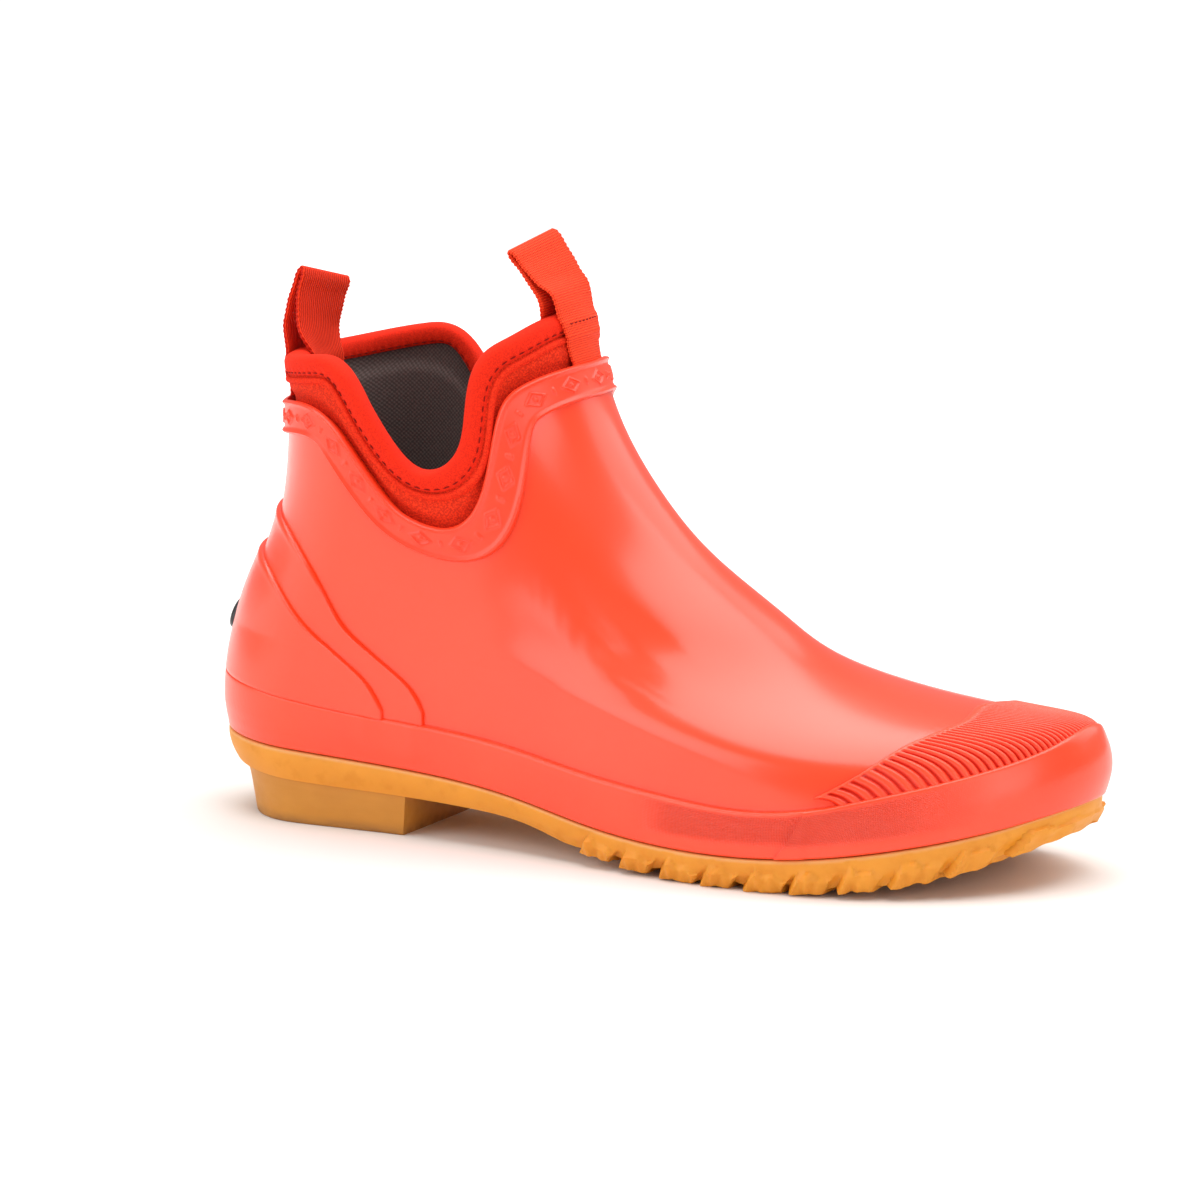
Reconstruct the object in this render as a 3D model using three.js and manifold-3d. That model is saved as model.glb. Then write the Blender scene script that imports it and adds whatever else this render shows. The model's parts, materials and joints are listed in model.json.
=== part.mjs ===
// Rubber rain boot, right foot, ankle height, with two webbing pull loops.
// Millimetres. +X points to the toe, +Y to the inner side of the foot, +Z up.
// The origin is the middle of the heel block's underside, on the ground.
// Every layer of the boot is laid on one surface, the last, which is a stack of
// closed rings: h is the height of a ring above the feather line, where upper
// and outsole meet, and t goes round it (0 toe, 0.5 outer side, 1 heel, 1.5 inner side).
import * as THREE from "three";
import Module from "manifold-3d";

const wasm = await Module();
wasm.setup();

// ---- Driving dimensions ------------------------------------------------------
const BOOT_LENGTH = 282;
const BALL_WIDTH = 101;
const SHAFT_HEIGHT = 159;
const GAP = 0.35;
const SHELL = 2.1;
const STIFFENER = 0.8;
const NEOPRENE = 3;
const LINING = 0.8;
const FOXING = 1.5;
const OVERLAY = 1;
const WELT = 2.4;
const LUG_DEPTH = 4;
const FILLER = 2;
const SHANK = 1.3;
const BOARD = 2;
const FOOTBED = 5;
const FOOTBED_COVER = 0.9;
const FOOTBED_PLAY = 2;
const BAND_WIDTH = 10;
const BINDING_WIDTH = 6;
const TAPE_WIDTH = 22;
const TAPE = 1.3;
const LOOP_LENGTH = 25;

// Lengths of the last that the profile curves below are drawn for.
const DRAWN = { length: 282, width: 101, height: 159 };
const SCALE = new THREE.Vector3(
  BOOT_LENGTH / DRAWN.length, BALL_WIDTH / DRAWN.width, SHAFT_HEIGHT / DRAWN.height,
);

// ---- Curves --------------------------------------------------------------
// Natural cubic spline through [x, y] pairs, straight beyond both ends.
function spline(points) {
  const n = points.length;
  const second = new Array(n).fill(0);
  const carry = new Array(n).fill(0);
  for (let i = 1; i < n - 1; i += 1) {
    const left = points[i][0] - points[i - 1][0];
    const right = points[i + 1][0] - points[i][0];
    const slope = (points[i + 1][1] - points[i][1]) / right - (points[i][1] - points[i - 1][1]) / left;
    const pivot = (2 * (left + right)) - left * carry[i - 1];
    carry[i] = right / pivot;
    second[i] = (6 * slope - left * second[i - 1]) / pivot;
  }
  for (let i = n - 2; i > 0; i -= 1) second[i] -= carry[i] * second[i + 1];
  return (x) => {
    let i = 0;
    while (i < n - 2 && x > points[i + 1][0]) i += 1;
    const [x0, y0] = points[i];
    const [x1, y1] = points[i + 1];
    const step = x1 - x0;
    const b = Math.min(1, Math.max(0, (x - x0) / step));
    const a = 1 - b;
    const bend = ((a ** 3 - a) * second[i] + (b ** 3 - b) * second[i + 1]) * step * step / 6;
    if (x < points[0][0]) return y0 + (x - x0) * ((y1 - y0) / step - step * second[1] / 6);
    if (x > points[n - 1][0]) return y1 + (x - x1) * ((y1 - y0) / step + step * second[n - 2] / 6);
    return a * y0 + b * y1 + bend;
  };
}

// The same left and right: a spline over t, mirrored about the toe and the heel.
function round(points) {
  const before = points.slice(1, 4).reverse().map(([t, y]) => [-t, y]);
  const after = points.slice(-4, -1).reverse().map(([t, y]) => [2 - t, y]);
  const curve = spline([...before, ...points, ...after]);
  return (t) => curve(1 - Math.abs(1 - (((t % 2) + 2) % 2)));
}

const clamp = (u) => Math.min(1, Math.max(0, u));
const smooth = (u) => clamp(u) ** 3 * (clamp(u) * (6 * clamp(u) - 15) + 10);
const cap = (u) => Math.sqrt(1 - (1 - clamp(u)) ** 2);

const FEATHER = spline([
  [-42, 25.5], [0, 23], [35, 21], [70, 17.5], [100, 12.3], [130, 9.7], [165, 10.3], [200, 15], [225, 20.5], [245, 27],
]);
const FRONT = spline([
  [0, 238.5], [8, 240.5], [18, 239], [26, 229.5], [32, 203], [40, 166], [50, 143.5], [64, 121.5], [82, 102],
  [105, 85.5], [130, 76.5], [160, 68],
]);
const BACK = spline([
  [0, -40], [12, -40.2], [30, -38], [50, -32], [68, -24], [90, -19.5], [110, -19], [130, -20.5], [160, -23],
]);
const OUTER_SIDE = spline([[-42, 32], [0, 32.5], [40, 33], [80, 38], [120, 46.5], [155, 51], [190, 50], [245, 45]]);
const INNER_SIDE = spline([[-42, 32], [0, 31.5], [40, 28], [80, 27], [120, 36], [155, 45], [190, 43], [245, 38]]);
const CENTRE = spline([[-42, 0], [60, 0], [120, 1], [180, 4], [245, 10]]);
const TOE_ROUNDING = spline([[0, 62], [20, 80], [40, 105], [70, 95], [100, 70], [130, 52], [160, 48]]);
const HEEL_ROUNDING = spline([[0, 34], [40, 36], [80, 38], [130, 45], [160, 48]]);
const SHAFT_HALF_WIDTH = 41;
const SHAFT_RISE = 20;

// Where the edges of the outer layers run: height above the feather line, over t.
const FOXING_TOP = round([
  [0, 22], [0.1, 19.6], [0.2, 17.4], [0.29, 15.2], [0.36, 13.9], [0.45, 15.4], [0.52, 15.4], [0.6, 15.1], [0.72, 15.9],
  [0.82, 18], [1, 18.6],
]);
const RIB_TOP = round([[0, 31.8], [0.1, 30.2], [0.18, 28.4], [0.24, 25.6], [0.28, 21.8], [0.31, 18], [1, 18]]);
const COUNTER_TOP = round([
  [0, 46], [0.64, 46], [0.663, 54], [0.69, 60.2], [0.72, 64.8], [0.776, 69.8], [0.86, 74], [1, 76],
]);
const PATCH_TOP = round([[0, 37], [0.69, 37], [0.71, 46], [0.75, 52.6], [0.8, 57.4], [0.88, 60.6], [1, 62]]);
const BAND_TOP = round([
  [0, 123.7], [0.14, 122.4], [0.22, 119.3], [0.28, 112.9], [0.317, 104.2], [0.356, 94.2], [0.408, 83], [0.465, 76.8],
  [0.51, 78.2], [0.545, 83.5], [0.58, 95], [0.62, 105], [0.66, 109], [0.73, 110.2], [0.86, 108], [1, 107.5],
]);
const COLLAR_TOP = round([
  [0, 139], [0.12, 137.6], [0.22, 133], [0.29, 127.5], [0.33, 119.5], [0.37, 106], [0.42, 96.2], [0.465, 93],
  [0.505, 96.4], [0.535, 106.5], [0.57, 118], [0.61, 123.9], [0.68, 124.8], [0.84, 121.8], [1, 121],
]);
const COUNTER_SPAN = 0.36;
const PATCH_SPAN = 0.308;
const TOE_SPAN = 0.335;
const RIB_SPAN = 0.31;
const RIB_PITCH = 0.0094;

// ---- The last ------------------------------------------------------------
function lastPoint(h, turn) {
  const t = ((turn % 2) + 2) % 2;
  const angle = Math.PI * (t < 1 ? t : 2 - t);
  const back = BACK(h);
  const front = FRONT(h);
  const x = front - (front - back) * (1 - Math.cos(angle)) / 2;
  const side = t < 1 ? -1 : 1;
  const shaft = smooth((h - 10) / 115);
  const bulge = 1.2 * Math.sin(Math.PI * clamp(h / 36));
  const half = ((t < 1 ? OUTER_SIDE(x) : INNER_SIDE(x)) + bulge) * (1 - shaft) + SHAFT_HALF_WIDTH * shaft;
  const ends = cap((front - x) / TOE_ROUNDING(h)) * cap((x - back) / HEEL_ROUNDING(h));
  const rise = smooth(h / 70);
  return new THREE.Vector3(
    x, CENTRE(x) * (1 - shaft) + side * half * ends, h + FEATHER(x) * (1 - rise) + SHAFT_RISE * rise,
  ).multiply(SCALE);
}

// A point d outside the last, along its normal.
function at(h, t, d = 0) {
  const across = lastPoint(h, t + 0.002).sub(lastPoint(h, t - 0.002));
  const up = lastPoint(h + 0.2, t).sub(lastPoint(h - 0.2, t));
  return lastPoint(h, t).addScaledVector(across.cross(up).normalize(), -d);
}

// A point at a level above the feather line, flat across the foot.
function deck(level, t, d) {
  const p = at(level, t, d);
  p.z = FEATHER(p.x / SCALE.x) * SCALE.z + level;
  return p;
}

// The place [h, t] that lies w below an edge line, measured square to it.
function under(edge, t, w) {
  const step = 0.004;
  const slope = (edge(t + step) - edge(t - step)) / (2 * step);
  const along = at(edge(t), t + step).distanceTo(at(edge(t), t - step)) / (2 * step);
  const length = Math.hypot(along, slope);
  return [edge(t) - (along / length) * w, t + ((slope / length) * w) / along];
}
const below = (edge, t, w, d) => at(...under(edge, t, w), d);

// Stations round the boot: closer where the collar dips.
const HALF_TURN = [
  0, 0.05, 0.1, 0.16, 0.22, 0.28, 0.33, 0.37, 0.41, 0.46, 0.51, 0.55, 0.59, 0.63, 0.68, 0.74, 0.8, 0.87, 0.94,
];
const STATIONS = [...HALF_TURN, 1, ...HALF_TURN.slice(1).reverse().map((t) => 2 - t)];

function span(from, to) {
  const loops = [-2, 0, 2].flatMap((turn) => STATIONS.map((t) => t + turn));
  const inside = loops.filter((t) => t > from + 0.012 && t < to - 0.012);
  return [from, ...inside, to];
}

// ---- Solids --------------------------------------------------------------
function solid(points, faces) {
  const geometry = new THREE.BufferGeometry();
  geometry.setAttribute("position", new THREE.Float32BufferAttribute(points.flatMap((p) => p.toArray()), 3));
  let volume = 0;
  for (const [a, b, c] of faces) {
    volume += points[a].dot(points[b].clone().cross(points[c]));
  }
  const facing = volume > 0 ? faces : faces.map(([a, b, c]) => [a, c, b]);
  geometry.setIndex(facing.flat());
  geometry.computeVertexNormals();
  return geometry;
}

// The two triangles of a four-sided facet. The inner side of the foot mirrors the outer side, and the
// rows that run back down the inside of a wall mirror those that run up its outside.
function facet(a, b, c, d, mirrored) {
  return mirrored ? [[a, b, d], [b, c, d]] : [[a, b, c], [a, c, d]];
}
const onInnerSide = (t, next) => ((((t + next) / 2 % 2) + 2) % 2) > 1;

// A skin through sections of the same number of points, closed round, or capped at both ends.
function skin(sections, closed, stations = null) {
  const m = sections[0].length;
  const count = sections.length;
  const faces = [];
  for (let i = 0; i < (closed ? count : count - 1); i += 1) {
    const next = (i + 1) % count;
    const innerSide = stations !== null && (next === 0 || onInnerSide(stations[i], stations[next]));
    for (let j = 0; j < m; j += 1) {
      const k = (j + 1) % m;
      faces.push(...facet(i * m + j, next * m + j, next * m + k, i * m + k, innerSide !== (j >= m / 2)));
    }
  }
  if (!closed) {
    const last = (count - 1) * m;
    for (let j = 0; j < m / 2 - 1; j += 1) {
      const k = m - 1 - j;
      faces.push([j, j + 1, k - 1], [j, k - 1, k]);
      faces.push([last + j, last + k - 1, last + j + 1], [last + j, last + k, last + k - 1]);
    }
  }
  return solid(sections.flat(), faces);
}

// Rows that every layer on the shell shares, so that their facets stay parallel.
const ROWS = [6, 13, 20, 26, 31, 37, 46, 56];
const shellTop = (t) => BAND_TOP(t) - 2;
const sharedRows = (t) => [
  ...ROWS, ...[0.2, 0.4, 0.6, 0.8, 1].map((part) => ROWS.at(-1) + (shellTop(t) - ROWS.at(-1)) * part),
];

// The shared rows between two edges, pressed together where an edge crosses them.
function rowsBetween(low, high, stations) {
  const shared = stations.map(sharedRows);
  const used = shared[0].map((_, j) => j).filter((j) => (
    stations.some((t, i) => shared[i][j] > low(t) + 0.8 && shared[i][j] < high(t) - 0.8)
  ));
  return stations.map((t, i) => {
    const step = Math.min(0.25, (high(t) - low(t)) / (used.length + 2));
    const between = used.map((j, k) => (
      Math.min(Math.max(shared[i][j], low(t) + step * (k + 1)), high(t) - step * (used.length - k))
    ));
    return [low(t), ...between, high(t)];
  });
}

// A layer between two offsets from the last, over a span of t and between two edges.
function layer(from, to, low, high, inner, outer, stations = span(from, to)) {
  const heights = rowsBetween(low, high, stations);
  const place = (h, t, d) => (h <= GAP ? deck(h, t, d) : at(h, t, d));
  const sections = stations.map((t, i) => [
    ...heights[i].map((h) => place(h, t, outer(h, t))),
    ...heights[i].slice().reverse().map((h) => place(h, t, inner(h, t))),
  ]);
  return skin(sections, false, stations);
}

// A closed band that follows an edge line: section points are [distance below it, offset].
function trim(edge, profile) {
  return skin(STATIONS.map((t) => profile.map(([w, d]) => below(edge, t, w, d))), true, STATIONS);
}

// Faces that close a ring of STATIONS points, in strips from side to side.
function lid(first, flip) {
  const n = STATIONS.length;
  const faces = [[first + n / 2 - 1, first + n / 2, first + n / 2 + 1]];
  for (let i = 0; i < n / 2 - 1; i += 1) {
    const a = first + i;
    const b = first + i + 1;
    const c = first + n - i - 1;
    const d = first + ((n - i) % n);
    faces.push([a, b, c]);
    if (i > 0) faces.push([a, c, d]);
  }
  return flip ? faces.map(([a, b, c]) => [a, c, b]) : faces;
}

function wall(first, rows) {
  const n = STATIONS.length;
  const faces = [];
  for (let j = 0; j < rows; j += 1) {
    for (let i = 0; i < n; i += 1) {
      const a = first + j * n + i;
      const b = first + j * n + ((i + 1) % n);
      faces.push(...facet(a, b, b + n, a + n, (i >= n / 2) !== (j >= rows / 2)));
    }
  }
  return faces;
}

// A plate under the foot, between two levels.
function plate(low, high, inset) {
  const rings = [low, high].map((level) => STATIONS.map((t) => deck(level, t, -inset)));
  return solid(rings.flat(), [...lid(0, true), ...wall(0, 1), ...lid(STATIONS.length, false)]);
}

// Rings of points up the shared rows, from a first height.
function rings(first, offset, sole) {
  const heights = STATIONS.map((t) => [first, ...sharedRows(t).filter((h) => h > first + 1)]);
  const count = Math.min(...heights.map((column) => column.length));
  return Array.from({ length: count }, (_, j) => STATIONS.map((t, i) => {
    const h = heights[i].at(j - count);
    if (j === 0) return sole ? deck(first, t, offset(first, t)) : at(first, t, offset(first, t));
    return at(h, t, offset(h, t));
  }));
}

// A sock: a wall with a closed sole, open at the top, where it goes on above the shell
// to w below the collar's edge. Its bends are at the lower edge of the collar's binding.
function sock(outerFloor, innerFloor, w, outer, inner) {
  const collar = (offset) => {
    const binding = STATIONS.map((t) => under(COLLAR_TOP, t, BINDING_WIDTH));
    const top = STATIONS.map((t) => under(COLLAR_TOP, t, w));
    const mix = (part) => STATIONS.map((t, i) => [
      shellTop(t) + (binding[i][0] - shellTop(t)) * part, t + (binding[i][1] - t) * part,
    ]);
    return [mix(0.35), mix(0.7), binding, top].map((ring) => ring.map(([h, t]) => at(h, t, offset(h, t))));
  };
  const all = [
    ...rings(outerFloor, outer, true), ...collar(outer), ...collar(inner).reverse(),
    ...rings(innerFloor, inner, true).reverse(),
  ];
  const n = STATIONS.length;
  return solid(all.flat(), [...lid(0, true), ...wall(0, all.length - 1), ...lid((all.length - 1) * n, false)]);
}

const toManifold = (geometry) => {
  const mesh = new wasm.Mesh({
    numProp: 3,
    vertProperties: Float32Array.from(geometry.getAttribute("position").array),
    triVerts: Uint32Array.from(geometry.getIndex().array),
  });
  mesh.merge();
  return new wasm.Manifold(mesh);
};

const fromManifold = (body) => {
  const mesh = body.getMesh();
  const geometry = new THREE.BufferGeometry();
  geometry.setAttribute("position", new THREE.BufferAttribute(Float32Array.from(mesh.vertProperties), 3));
  geometry.setIndex(new THREE.BufferAttribute(Uint32Array.from(mesh.triVerts), 1));
  geometry.computeVertexNormals();
  return geometry;
};

// A box between two corners.
function block(low, high) {
  const size = new THREE.Vector3().subVectors(high, low);
  const geometry = new THREE.BoxGeometry(size.x, size.y, size.z);
  geometry.translate(...low.clone().addScaledVector(size, 0.5).toArray());
  return geometry;
}

const group = new THREE.Group();
function add(name, geometry, colour, roughness = 0.6) {
  const mesh = new THREE.Mesh(geometry, new THREE.MeshStandardMaterial({ color: colour, roughness }));
  mesh.name = name;
  group.add(mesh);
}

const CORAL = 0xff6a55;
const CORAL_DARK = 0xe0412c;
const GUM = 0xd99a4a;
const KNIT = 0xe8401f;
const LINING_GREY = 0x413633;

// ---- Levels under the foot and offsets through the wall ----------------------
const fillerTop = GAP + FILLER;
const boardTop = fillerTop + GAP + BOARD;
const sockFloor = boardTop + GAP;
const liningFloor = sockFloor + NEOPRENE + GAP;
const footbedFloor = liningFloor + LINING + GAP;
const footbedTop = footbedFloor + FOOTBED;
const coverTop = footbedTop + GAP + FOOTBED_COVER;

// 1 where a stiffener lies between shell and sock, 0 away from it.
const HEEL_STIFFENER = { span: 0.32, low: ROWS[0], high: ROWS[6] };
const TOE_PUFF = { span: 0.28, low: ROWS[0], high: ROWS[3] };
function stiffened(h, t) {
  const fromHeel = Math.abs((((t % 2) + 2) % 2) - 1);
  const heel = 1 - smooth((fromHeel - HEEL_STIFFENER.span - 0.015) / 0.12);
  const heelTop = 1 - smooth((h - HEEL_STIFFENER.high - 1) / 14);
  const toe = 1 - smooth((1 - fromHeel - TOE_PUFF.span - 0.015) / 0.1);
  const toeTop = 1 - smooth((h - TOE_PUFF.high - 4) / 8);
  return Math.max(heel * heelTop, toe * toeTop);
}
const sockOutside = (h, t) => (
  -(SHELL + GAP + (STIFFENER + GAP) * stiffened(h, t)) + 1.6 * smooth((h - BAND_TOP(t)) / 5)
);
const sockInside = (h, t) => sockOutside(h, t) - NEOPRENE;
const liningOutside = (h, t) => sockInside(h, t) - GAP;
const liningInside = (h, t) => liningOutside(h, t) - LINING;
const FABRIC_EDGE = 1.8;
const fixed = (d) => () => d;

// ---- Outsole and heel ----------------------------------------------------
// The lowest line of the tread and of the bare waist, along the foot.
const TREAD = spline([
  [-42, 17.5], [-32, 16], [-12, 14], [18, 12.9], [55, 11.6], [75, 9.6], [96, 4.2], [116, 1.2], [136, 0], [158, 0],
  [176, 0.8], [192, 2.6], [206, 5], [218, 8.4], [234, 14.6], [246, 20],
]);
const TREAD_START = 88;
const treadDepth = (x) => LUG_DEPTH * smooth((x / SCALE.x - TREAD_START) / 14) * (1 - 0.4 * smooth((x / SCALE.x - 205) / 30));
const treadZ = (x) => Math.max(0, TREAD(x / SCALE.x) * SCALE.z);

function outsoleRing(part) {
  return STATIONS.map((t) => {
    const p = at(0, t, WELT * Math.sin(Math.PI * (0.25 + 0.55 * part)) - 2.2 * part);
    const top = FEATHER(p.x / SCALE.x) * SCALE.z;
    p.z = top + (treadZ(p.x) + treadDepth(p.x) - top) * part;
    return p;
  });
}
const soleRings = [1, 0.72, 0.36, 0].map(outsoleRing);
const soleSlab = solid(soleRings.flat(), [
  ...lid(0, true), ...wall(0, soleRings.length - 1), ...lid((soleRings.length - 1) * STATIONS.length, false),
]);

// Half width of the tread under the foot, at x.
function treadHalf(x, side) {
  const rim = soleRings[0].filter((p) => Math.sign(p.y - CENTRE(p.x / SCALE.x) * SCALE.y) === side);
  rim.sort((p, q) => p.x - q.x);
  const i = rim.findIndex((p) => p.x > x);
  if (i < 1) return CENTRE(x / SCALE.x) * SCALE.y;
  return rim[i - 1].y + (rim[i].y - rim[i - 1].y) * (x - rim[i - 1].x) / (rim[i].x - rim[i - 1].x);
}

const LUG_PITCH = 14.5 * SCALE.x;
const LUG_GAP = 4;
const LUG_ROWS = 10;
// A lug with a skewed foot: narrower below than where it grows out of the sole.
function lug(x0, x1, y0, y1, skew) {
  const corners = (grow, z) => [[x0, y0], [x1, y0], [x1, y1], [x0, y1]].map(([x, y], i) => {
    const px = x + (i === 0 || i === 3 ? -grow : grow) + (y - y0) * skew;
    const py = y + (i < 2 ? -grow : grow);
    return new THREE.Vector3(px, py, z(px));
  });
  const foot = corners(0, (x) => treadZ(x));
  const root = corners(0.7, (x) => treadZ(x) + treadDepth(x) + 1.2);
  return skin([foot, root], false);
}
let sole = toManifold(soleSlab);
for (let row = 0; row < LUG_ROWS; row += 1) {
  const x0 = (TREAD_START + 8) * SCALE.x + row * LUG_PITCH;
  const x1 = x0 + LUG_PITCH - LUG_GAP;
  const outer = Math.max(treadHalf(x0, -1), treadHalf(x1, -1)) + 1.4;
  const inner = Math.min(treadHalf(x0, 1), treadHalf(x1, 1)) - 1.4;
  const third = (inner - outer) / 3;
  if (third > 8) {
    sole = sole.add(toManifold(lug(x0, x1, outer, outer + third - 2, 0.12)));
    sole = sole.add(toManifold(lug(x0 + 3, x1 + 3, outer + third + 2, inner - third - 2, 0)));
    sole = sole.add(toManifold(lug(x0, x1, inner - third + 2, inner, -0.12)));
  }
}
add("gum_outsole", fromManifold(sole), GUM, 0.7);

const HEEL_FRONT = 32;
const HEEL_GROOVES = [-24, -14, 12, 22];
const HEEL_GROOVE = { width: 2.2, depth: 1.6 };
// One ring of the heel block: drawn in from the sole's edge, more so at the back and lower down.
function heelRing(part) {
  const turn = HALF_TURN.filter((t) => t > 0.62).map((t) => t);
  const edge = [...turn, 1, ...turn.slice().reverse().map((t) => 2 - t)].map((t) => {
    const p = at(0, t, -1.6 - 1.2 * part);
    const rear = clamp((-10 * SCALE.x - p.x) / (30 * SCALE.x));
    p.x += (2.2 + 3.6 * Math.sqrt(part)) * rear;
    return p;
  });
  const front = (HEEL_FRONT - 1.5 * part) * SCALE.x;
  const first = edge.find((p) => p.x < front - 4);
  const final = edge.findLast((p) => p.x < front - 4);
  const corners = [new THREE.Vector3(front, first.y - 0.4, 0), new THREE.Vector3(front, final.y + 0.4, 0)];
  const ring = [corners[0], ...edge.filter((p) => p.x < front - 4), corners[1]];
  for (const p of ring) {
    const top = (treadZ(p.x) - GAP);
    p.z = top * (1 - part);
  }
  return ring;
}
const heelRings = [1, 0.5, 0].map(heelRing);
const heelCount = Math.min(...heelRings.map((ring) => ring.length));
const heelSections = heelRings.map((ring) => ring.slice(0, heelCount));
function heelSolid() {
  const m = heelCount;
  const faces = [];
  for (let j = 0; j < 2; j += 1) {
    for (let i = 0; i < m; i += 1) {
      const a = j * m + i;
      const b = j * m + ((i + 1) % m);
      faces.push([a, b, b + m], [a, b + m, a + m]);
    }
  }
  for (let i = 0; i < m / 2 - 1; i += 1) {
    const k = m - 1 - i;
    const top = 2 * m;
    faces.push([i, k, i + 1], [top + i, top + i + 1, top + k]);
    if (k - 1 > i + 1) faces.push([i + 1, k, k - 1], [top + i + 1, top + k - 1, top + k]);
  }
  return solid(heelSections.flat(), faces);
}
let heel = toManifold(heelSolid());
for (const x of HEEL_GROOVES) {
  const cut = block(
    new THREE.Vector3(x * SCALE.x - HEEL_GROOVE.width / 2, -BALL_WIDTH, -1),
    new THREE.Vector3(x * SCALE.x + HEEL_GROOVE.width / 2, BALL_WIDTH, HEEL_GROOVE.depth),
  );
  heel = heel.subtract(toManifold(cut));
}
add("heel_block", fromManifold(heel), 0xc4863c, 0.7);

// ---- Bottom of the boot, from the outsole upwards ------------------------------
const SHANK_SIZE = { from: 18, to: 92, width: 14 };
const SHANK_STEPS = 8;
function shankBar(grow, low, high) {
  const sections = [];
  for (let i = 0; i <= SHANK_STEPS; i += 1) {
    const part = i / SHANK_STEPS;
    const x = (SHANK_SIZE.from + (SHANK_SIZE.to - SHANK_SIZE.from) * part) * SCALE.x + grow * (2 * part - 1);
    const floor = FEATHER(x / SCALE.x) * SCALE.z;
    const half = (SHANK_SIZE.width / 2) * SCALE.y + grow;
    sections.push([[-half, low], [half, low], [half, high], [-half, high]].map(
      ([y, level]) => new THREE.Vector3(x, y, floor + level),
    ));
  }
  return skin(sections, false);
}
add("steel_shank", shankBar(0, GAP, GAP + SHANK), 0x8f9499, 0.35);
const filler = toManifold(plate(GAP, fillerTop, SHELL + 2 * GAP));
add("bottom_filler", fromManifold(filler.subtract(toManifold(shankBar(GAP, -1, fillerTop + 1)))), 0x3a3230, 0.95);
add("insole_board", plate(fillerTop + GAP, boardTop, SHELL + 2 * GAP), 0xb79a70, 0.9);

const bedInset = SHELL + GAP + STIFFENER + GAP + NEOPRENE + GAP + LINING + FOOTBED_PLAY;
add("footbed", plate(footbedFloor, footbedTop, bedInset), 0x5b5350, 0.95);
add("footbed_cover", plate(footbedTop + GAP, coverTop, bedInset), 0x8a2f25, 0.95);

// ---- Upper -----------------------------------------------------------------
const shellRings = [...rings(GAP, fixed(0), false), ...rings(GAP, fixed(-SHELL), false).reverse()];
function shellSolid() {
  const n = STATIONS.length;
  const faces = wall(0, shellRings.length - 1);
  const last = (shellRings.length - 1) * n;
  for (let i = 0; i < n; i += 1) {
    const k = (i + 1) % n;
    faces.push([last + i, last + k, k], [last + i, k, i]);
  }
  return solid(shellRings.flat(), faces);
}
add("upper_shell", shellSolid(), CORAL, 0.25);

const stiffenerOut = -(SHELL + GAP);
const stiffenerIn = stiffenerOut - STIFFENER;
add("heel_stiffener", layer(
  1 - HEEL_STIFFENER.span, 1 + HEEL_STIFFENER.span, fixed(HEEL_STIFFENER.low), fixed(HEEL_STIFFENER.high),
  fixed(stiffenerIn), fixed(stiffenerOut),
), 0xd8cdb8, 0.9);
add("toe_puff", layer(
  -TOE_PUFF.span, TOE_PUFF.span, fixed(TOE_PUFF.low), fixed(TOE_PUFF.high), fixed(stiffenerIn), fixed(stiffenerOut),
), 0xd8cdb8, 0.9);
add("neoprene_bootie", sock(sockFloor, sockFloor + NEOPRENE, FABRIC_EDGE, sockOutside, sockInside), KNIT, 0.9);
add("grey_lining", sock(liningFloor, liningFloor + LINING, FABRIC_EDGE, liningOutside, liningInside), LINING_GREY, 0.95);

// ---- Rubber strips and patches on the outside ----------------------------------
add("foxing_band", layer(
  TOE_SPAN + 0.006, 2 - TOE_SPAN - 0.006, fixed(GAP), FOXING_TOP, fixed(GAP), fixed(GAP + FOXING),
), CORAL, 0.45);
add("toe_bumper", layer(
  -TOE_SPAN, TOE_SPAN, fixed(GAP), FOXING_TOP, fixed(GAP), fixed(GAP + FOXING + 0.4),
), CORAL, 0.5);

const ribLow = (t) => FOXING_TOP(t) + GAP;
const ribHigh = (t) => Math.max(RIB_TOP(t), ribLow(t) + 1.2);
const ribCount = Math.round(RIB_SPAN / RIB_PITCH);
const ribStations = Array.from({ length: 4 * ribCount + 1 }, (_, i) => (i / 2 - ribCount) * RIB_PITCH);
const ribCrest = new Set(ribStations.filter((_, i) => i % 2 === 1));
add("ribbed_toe_cap", layer(
  -RIB_SPAN, RIB_SPAN, ribLow, ribHigh, fixed(GAP), (h, t) => GAP + OVERLAY + (ribCrest.has(t) ? 0.9 : 0), ribStations,
), CORAL, 0.45);

add("heel_counter", layer(
  1 - COUNTER_SPAN, 1 + COUNTER_SPAN, (t) => FOXING_TOP(t) + GAP, COUNTER_TOP, fixed(GAP), fixed(GAP + OVERLAY),
), CORAL, 0.3);
const patchOut = 2 * GAP + 2 * OVERLAY;
add("heel_counter_patch", layer(
  1 - PATCH_SPAN, 1 + PATCH_SPAN, (t) => FOXING_TOP(t) + GAP, PATCH_TOP, fixed(2 * GAP + OVERLAY), fixed(patchOut),
), CORAL, 0.3);
const STAY_SPAN = 0.06;
add("back_stay_strip", layer(
  1 - STAY_SPAN, 1 + STAY_SPAN, (t) => COUNTER_TOP(t) + GAP, (t) => BAND_TOP(t) - BAND_WIDTH - GAP,
  fixed(GAP), fixed(GAP + OVERLAY),
), CORAL, 0.3);

const LIP = 0.6;
add("collar_band", trim(BAND_TOP, [
  [0, GAP + 0.2], [0, 1.3 + LIP], [1.5, 1.3 + LIP], [2.1, 1.3], [BAND_WIDTH - 2.1, 1.3], [BAND_WIDTH - 1.5, 1.3 + LIP],
  [BAND_WIDTH, 1.3 + LIP], [BAND_WIDTH, GAP + 0.2], [BAND_WIDTH / 2, GAP + 0.4],
]), CORAL, 0.4);

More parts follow.
